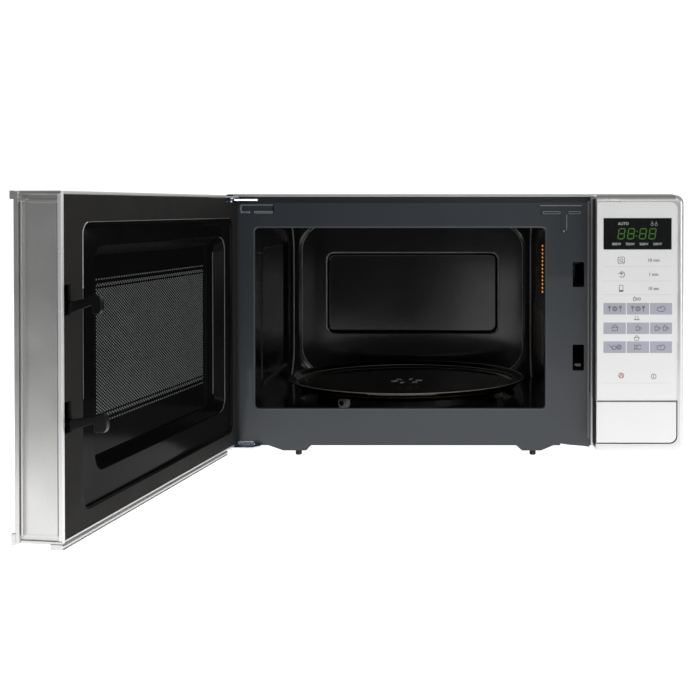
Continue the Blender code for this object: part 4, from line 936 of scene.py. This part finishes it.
def door_lining():
    """The matt inner cover, the glossy stepped recess, and the smoked outer pane."""
    slots = [rounded((344.0, low, 353.4, high), 0.5, 2) for low, high in LATCH_SLOTS_DOOR]
    notched = [(38.3, 250.0), (17.8, 250.0), (17.8, 17.6), (353.5, 17.6), (353.5, 254.0), (38.3, 254.0)]
    cover = slab([notched, rounded(CHOKE_OPENING, 9, 8), *slots], "y", -2.9, DOOR_BACK, 0.45)
    piece("door_lining", cover, "door", "matt_black", ["choke_cover"])
    outer = ((0.6, 9.6, -1.6), (-0.3, 8.8, -1.1), (-1.3, 8.0, -1.3), (-2.6, 7.2, -2.8), (-5.0, 6.0, -3.3))
    inner = ((1.0, 13.0, -3.3), (0.2, 12.4, -3.5), (-0.7, 11.8, -4.3), (-6.5, 9.0, -11.0), (-8.0, 8.0, -11.9))
    steps = steps_about(CHOKE_OPENING, outer) + steps_about(DOOR_WINDOW, inner)
    piece("window_recess", hoop("y", steps, -0.25), "door", "gloss_black", ["inner_bezel"])
    corner = (316.7, 225.7)
    rim = ((325.9, 110.0), *arc(corner, 9.2, 0, 90, 8), (30.0, 234.9))
    upright = ((43.4, 70.0), (43.4, 203.0))
    step = (*arc((48, 204.5), 12.6, 90, 180, 8), *arc((48, 66), 12.6, 180, 270, 8))
    # Grey beads along the recess's rim and steps, painted dim highlights
    beads = [rod([(x, depth, z) for x, z in path], radius) for path, depth, radius in
             ((rim, -0.5, 0.26), (upright, -12.0, 0.35), (step, -3.4, 0.38))]
    piece("recess_highlight_beads", joined(*beads, weld=False), "door", "gloss_black", finish=DIM_HIGHLIGHT)
    # A pale bead round the recess's top corner, a painted highlight
    glint = rod([(x, -0.45, z) for x, z in ((325.9, 188.0), *arc(corner, 9.2, 0, 80, 7))], 0.34)
    piece("recess_corner", glint, "door", "gloss_black", finish=BEAD_HIGHLIGHT)
    pane = slab([rounded(grown(PANE, -0.3), 5.7)], "y", 0.1 - FRONT_DEPTH, 1.8 - FRONT_DEPTH, 0.3)
    piece("door_pane", pane, "door", "smoked_window", ["door_glass"])
    backing = slab([rounded(grown(DOOR_WINDOW, -2.0), 10)], "y", -12.9, -12.4, 0.1)
    piece("window_film", backing, "door", "gloss_black", ["inner_film"])


def screen_dots():
    """The perforated field of the door screen: staggered pale dots in the holes, painted as the light seen through
    them, with two dark lines at its head and foot.
    """
    left, right, low, high = 69.0, 285.5, 84.0, 192.0
    pitch = 2.5
    column, row = pitch * math.sqrt(3) / 2, pitch / 2
    rows = int((high - low) / row)
    skipped = {1, 2, 5, rows - 1, rows - 2, rows - 5}
    bm = bmesh.new()
    front, back, hexagon = -12.15, -12.42, circle(0, 0, 0.66, 0, 300, 5)
    for i in range(int((right - left) / column)):
        x = left + i * column
        for j in range(rows + 1):
            if (i + j) % 2 or j in skipped:
                continue
            z = low + j * row
            rim, base = ([bm.verts.new((x + a, depth, z + b)) for a, b in hexagon] for depth in (front, back))
            bm.faces.new(rim)
            bm.faces.new(reversed(base))
            for k in range(6):
                bm.faces.new((rim[k - 1], base[k - 1], base[k], rim[k]))
    bmesh.ops.recalc_face_normals(bm, faces=bm.faces)
    piece("screen_dots", mesh_of(bm), "door", "steel", finish=HOLE_LIGHT_DOT)


def hook(root, reach, bulk):
    """Outline of one latch hook in Y and Z, from its root's top round its head, which bulk thickens."""
    back, tip = DOOR_BACK, DOOR_BACK + reach
    head = tip - 6
    neck = head - bulk
    return [
        (back, root + 8.9), (back + 4, root + 9.0), (head - 5, root + 11.4), (head, root + 13.2),
        (tip - 3.0, root + 13.6), (tip - 1.2, root + 12.8), (tip - 0.2, root + 10.4), (tip, root + 8),
        (tip, root + 4), (tip - 0.6, root + 2), (tip - 2.2, root + 0.5), (neck + 1, root + 0.1),
        (neck - 0.6, root + 1), (neck - 0.6, root + 5.6), (neck - 2, root + 6.4), (back + 5, root + 1.6),
        (back, root),
    ]


def latch_hooks():
    """Both hooks and the bar that joins them behind the inner cover, as one moulding."""
    roots = [low + 0.3 for low, _ in LATCH_SLOTS_DOOR]
    lower, upper = (hook(*sizes) for sizes in zip(roots, HOOK_REACH, (2.6, 0.0)))
    bar = [(-20, 82), (-20, 190), (-10, 190), (-10, 180.6), *upper, (-10, 171.7), (-10, 99.3), *lower]
    bar += [(-10, 90.4), (-10, 82)]
    hooks = slab([bar], "x", 344.4, 349.4, 0.5)
    piece("latch_hooks", hooks, "latch", "matt_black", ["door_latch"], finish=HOOK_PLASTIC_AND_GAP_SHADE)


# ------------------------------------------------------------------ carried over


def finish_cad():
    """Gives every CAD node that still shows the procedural material of its slot."""
    for part in frame["record"]["subparts"]:
        shape = frame["nodes"][part["node"]]
        shape.data.materials.clear()
        shape.data.materials.append(SLOTS[part["material_slot"]])
    for name, finish in (("door_screen", SLOTS["gloss_black"]), ("roller_ring", RING_NYLON)):
        frame["nodes"][name].data.materials[0] = finish
    # The parts seen through the latch slots go near-black: painted shade inside the slots
    for name in ("latch_board", "primary_switch", "monitor_switch", "secondary_switch", "primary_plunger",
                 "monitor_plunger", "secondary_plunger"):
        frame["nodes"][name].data.materials[0] = SHADED_BLACK


# ------------------------------------------------------------------ studio


CAMERA_PLACE = Vector((234.75, -1167.24, 245.55))  # millimetres in the cabinet's frame
CAMERA_TILT, CAMERA_TURN = -0.739, 0.092  # degrees
CAMERA_LENS, CAMERA_SHIFT = 61.69, (-0.1598, -0.1823)
TABLE = (-1.6, -0.62, 1.6, 2.2)  # metres; the card lamp shines up past its near edge
TABLE_GLOW, BACKDROP = 1.15, 1.2
# The room's brightness by height: level and below, straight up, and in between.
ROOM = ((0.0, (0.1, 0.102, 0.105, 1)), (0.9, (0.42, 0.42, 0.42, 1)), (0.45, (0.2, 0.2, 0.2, 1)))
LAMPS = (  # name, place and target in metres, width in metres, watts
    ("key", (0.5, -2.2, 1.15), (0.1, 0, 0.1), 1.2, 9.5),
    ("side", (1.9, -1.2, 0.4), (-0.1, -0.1, 0.15), 0.8, 8.0),
    ("card", (0.2, -1.75, -0.1), (0.1, 0.3, 0.15), 0.35, 0.4),
    ("oven", (0.05, 0.12, 0.2235), (0.0, 0.12, 0.0), 0.12, 0.06),
)


def lit_table():
    """A white table that glows, so that nothing on it casts a hard shadow."""
    left, near, right, far = TABLE
    mesh = bpy.data.meshes.new("floor")
    mesh.from_pydata([(left, near, 0), (right, near, 0), (right, far, 0), (left, far, 0)], [], [(0, 1, 2, 3)])
    floor = placed("floor", mesh)
    table = Nodes("studio_floor")
    table.link(table.ranged(table.noise(3.0), 0.86, 0.92), table.shader.inputs["Roughness"])
    white, glow = (0.8, 0.8, 0.8, 1), (1, 1, 1, 1)
    table.fixed(Base_Color=white, Emission_Color=glow, Emission_Strength=TABLE_GLOW)
    mesh.materials.append(table.material)


def room():
    """A room that is dim in front of the object and bright behind it; the camera sees it plain white."""
    world = bpy.data.worlds.new("studio")
    bpy.context.scene.world = world
    world.use_nodes = True
    nodes, links = world.node_tree.nodes, world.node_tree.links
    direction = nodes.new("ShaderNodeTexCoord")
    split = nodes.new("ShaderNodeSeparateXYZ")
    ramp = nodes.new("ShaderNodeValToRGB")
    path = nodes.new("ShaderNodeLightPath")
    pick = nodes.new("ShaderNodeMix")
    pick.data_type = "RGBA"
    links.new(direction.outputs["Generated"], split.inputs[0])
    links.new(split.outputs["Z"], ramp.inputs["Fac"])
    stops = ramp.color_ramp.elements
    for stop, (position, colour) in zip(stops, ROOM):
        stop.position, stop.color = position, colour
    stops.new(ROOM[2][0]).color = ROOM[2][1]
    behind = nodes.new("ShaderNodeMapRange")
    for key, number in (("From Min", 0.25), ("From Max", 0.75), ("To Min", 0.0), ("To Max", 1.0)):
        behind.inputs[key].default_value = number
    links.new(split.outputs["Y"], behind.inputs["Value"])
    total = nodes.new("ShaderNodeVectorMath")
    total.operation = "ADD"
    links.new(ramp.outputs["Color"], total.inputs[0])
    links.new(behind.outputs["Result"], total.inputs[1])
    links.new(path.outputs["Is Camera Ray"], pick.inputs["Factor"])
    links.new(total.outputs["Vector"], pick.inputs["A"])
    pick.inputs["B"].default_value = (BACKDROP, BACKDROP, BACKDROP, 1)
    links.new(pick.outputs["Result"], nodes["Background"].inputs["Color"])


def lamps_and_camera():
    """Soft area lamps, and the camera at the photograph's angle."""
    for name, spot, target, size, power in LAMPS:
        light = bpy.data.lights.new(name, "AREA")
        light.size = size
        light.energy = power
        lamp = placed(name, light)
        lamp.location = spot
        lamp.rotation_euler = (Vector(target) - Vector(spot)).to_track_quat("-Z", "Y").to_euler()
    lens = bpy.data.cameras.new("camera")
    lens.lens = CAMERA_LENS
    lens.shift_x, lens.shift_y = CAMERA_SHIFT
    camera = placed("camera", lens)
    camera.location = CABINET @ CAMERA_PLACE
    camera.rotation_euler = (math.radians(90 + CAMERA_TILT), 0, math.radians(CAMERA_TURN))
    bpy.context.scene.camera = camera
    bpy.context.scene.view_settings.view_transform = "Standard"


def main():
    finish_cad()
    for build in (
        front_face, cavity_pressings, cavity_corners, lamp_lights, turntable, feet, screws, panel_bezel,
        panel_trims, keypad, door_button, door_shell, door_lining, screen_dots, latch_hooks, lit_table, room,
        lamps_and_camera,
    ):
        build()


main()
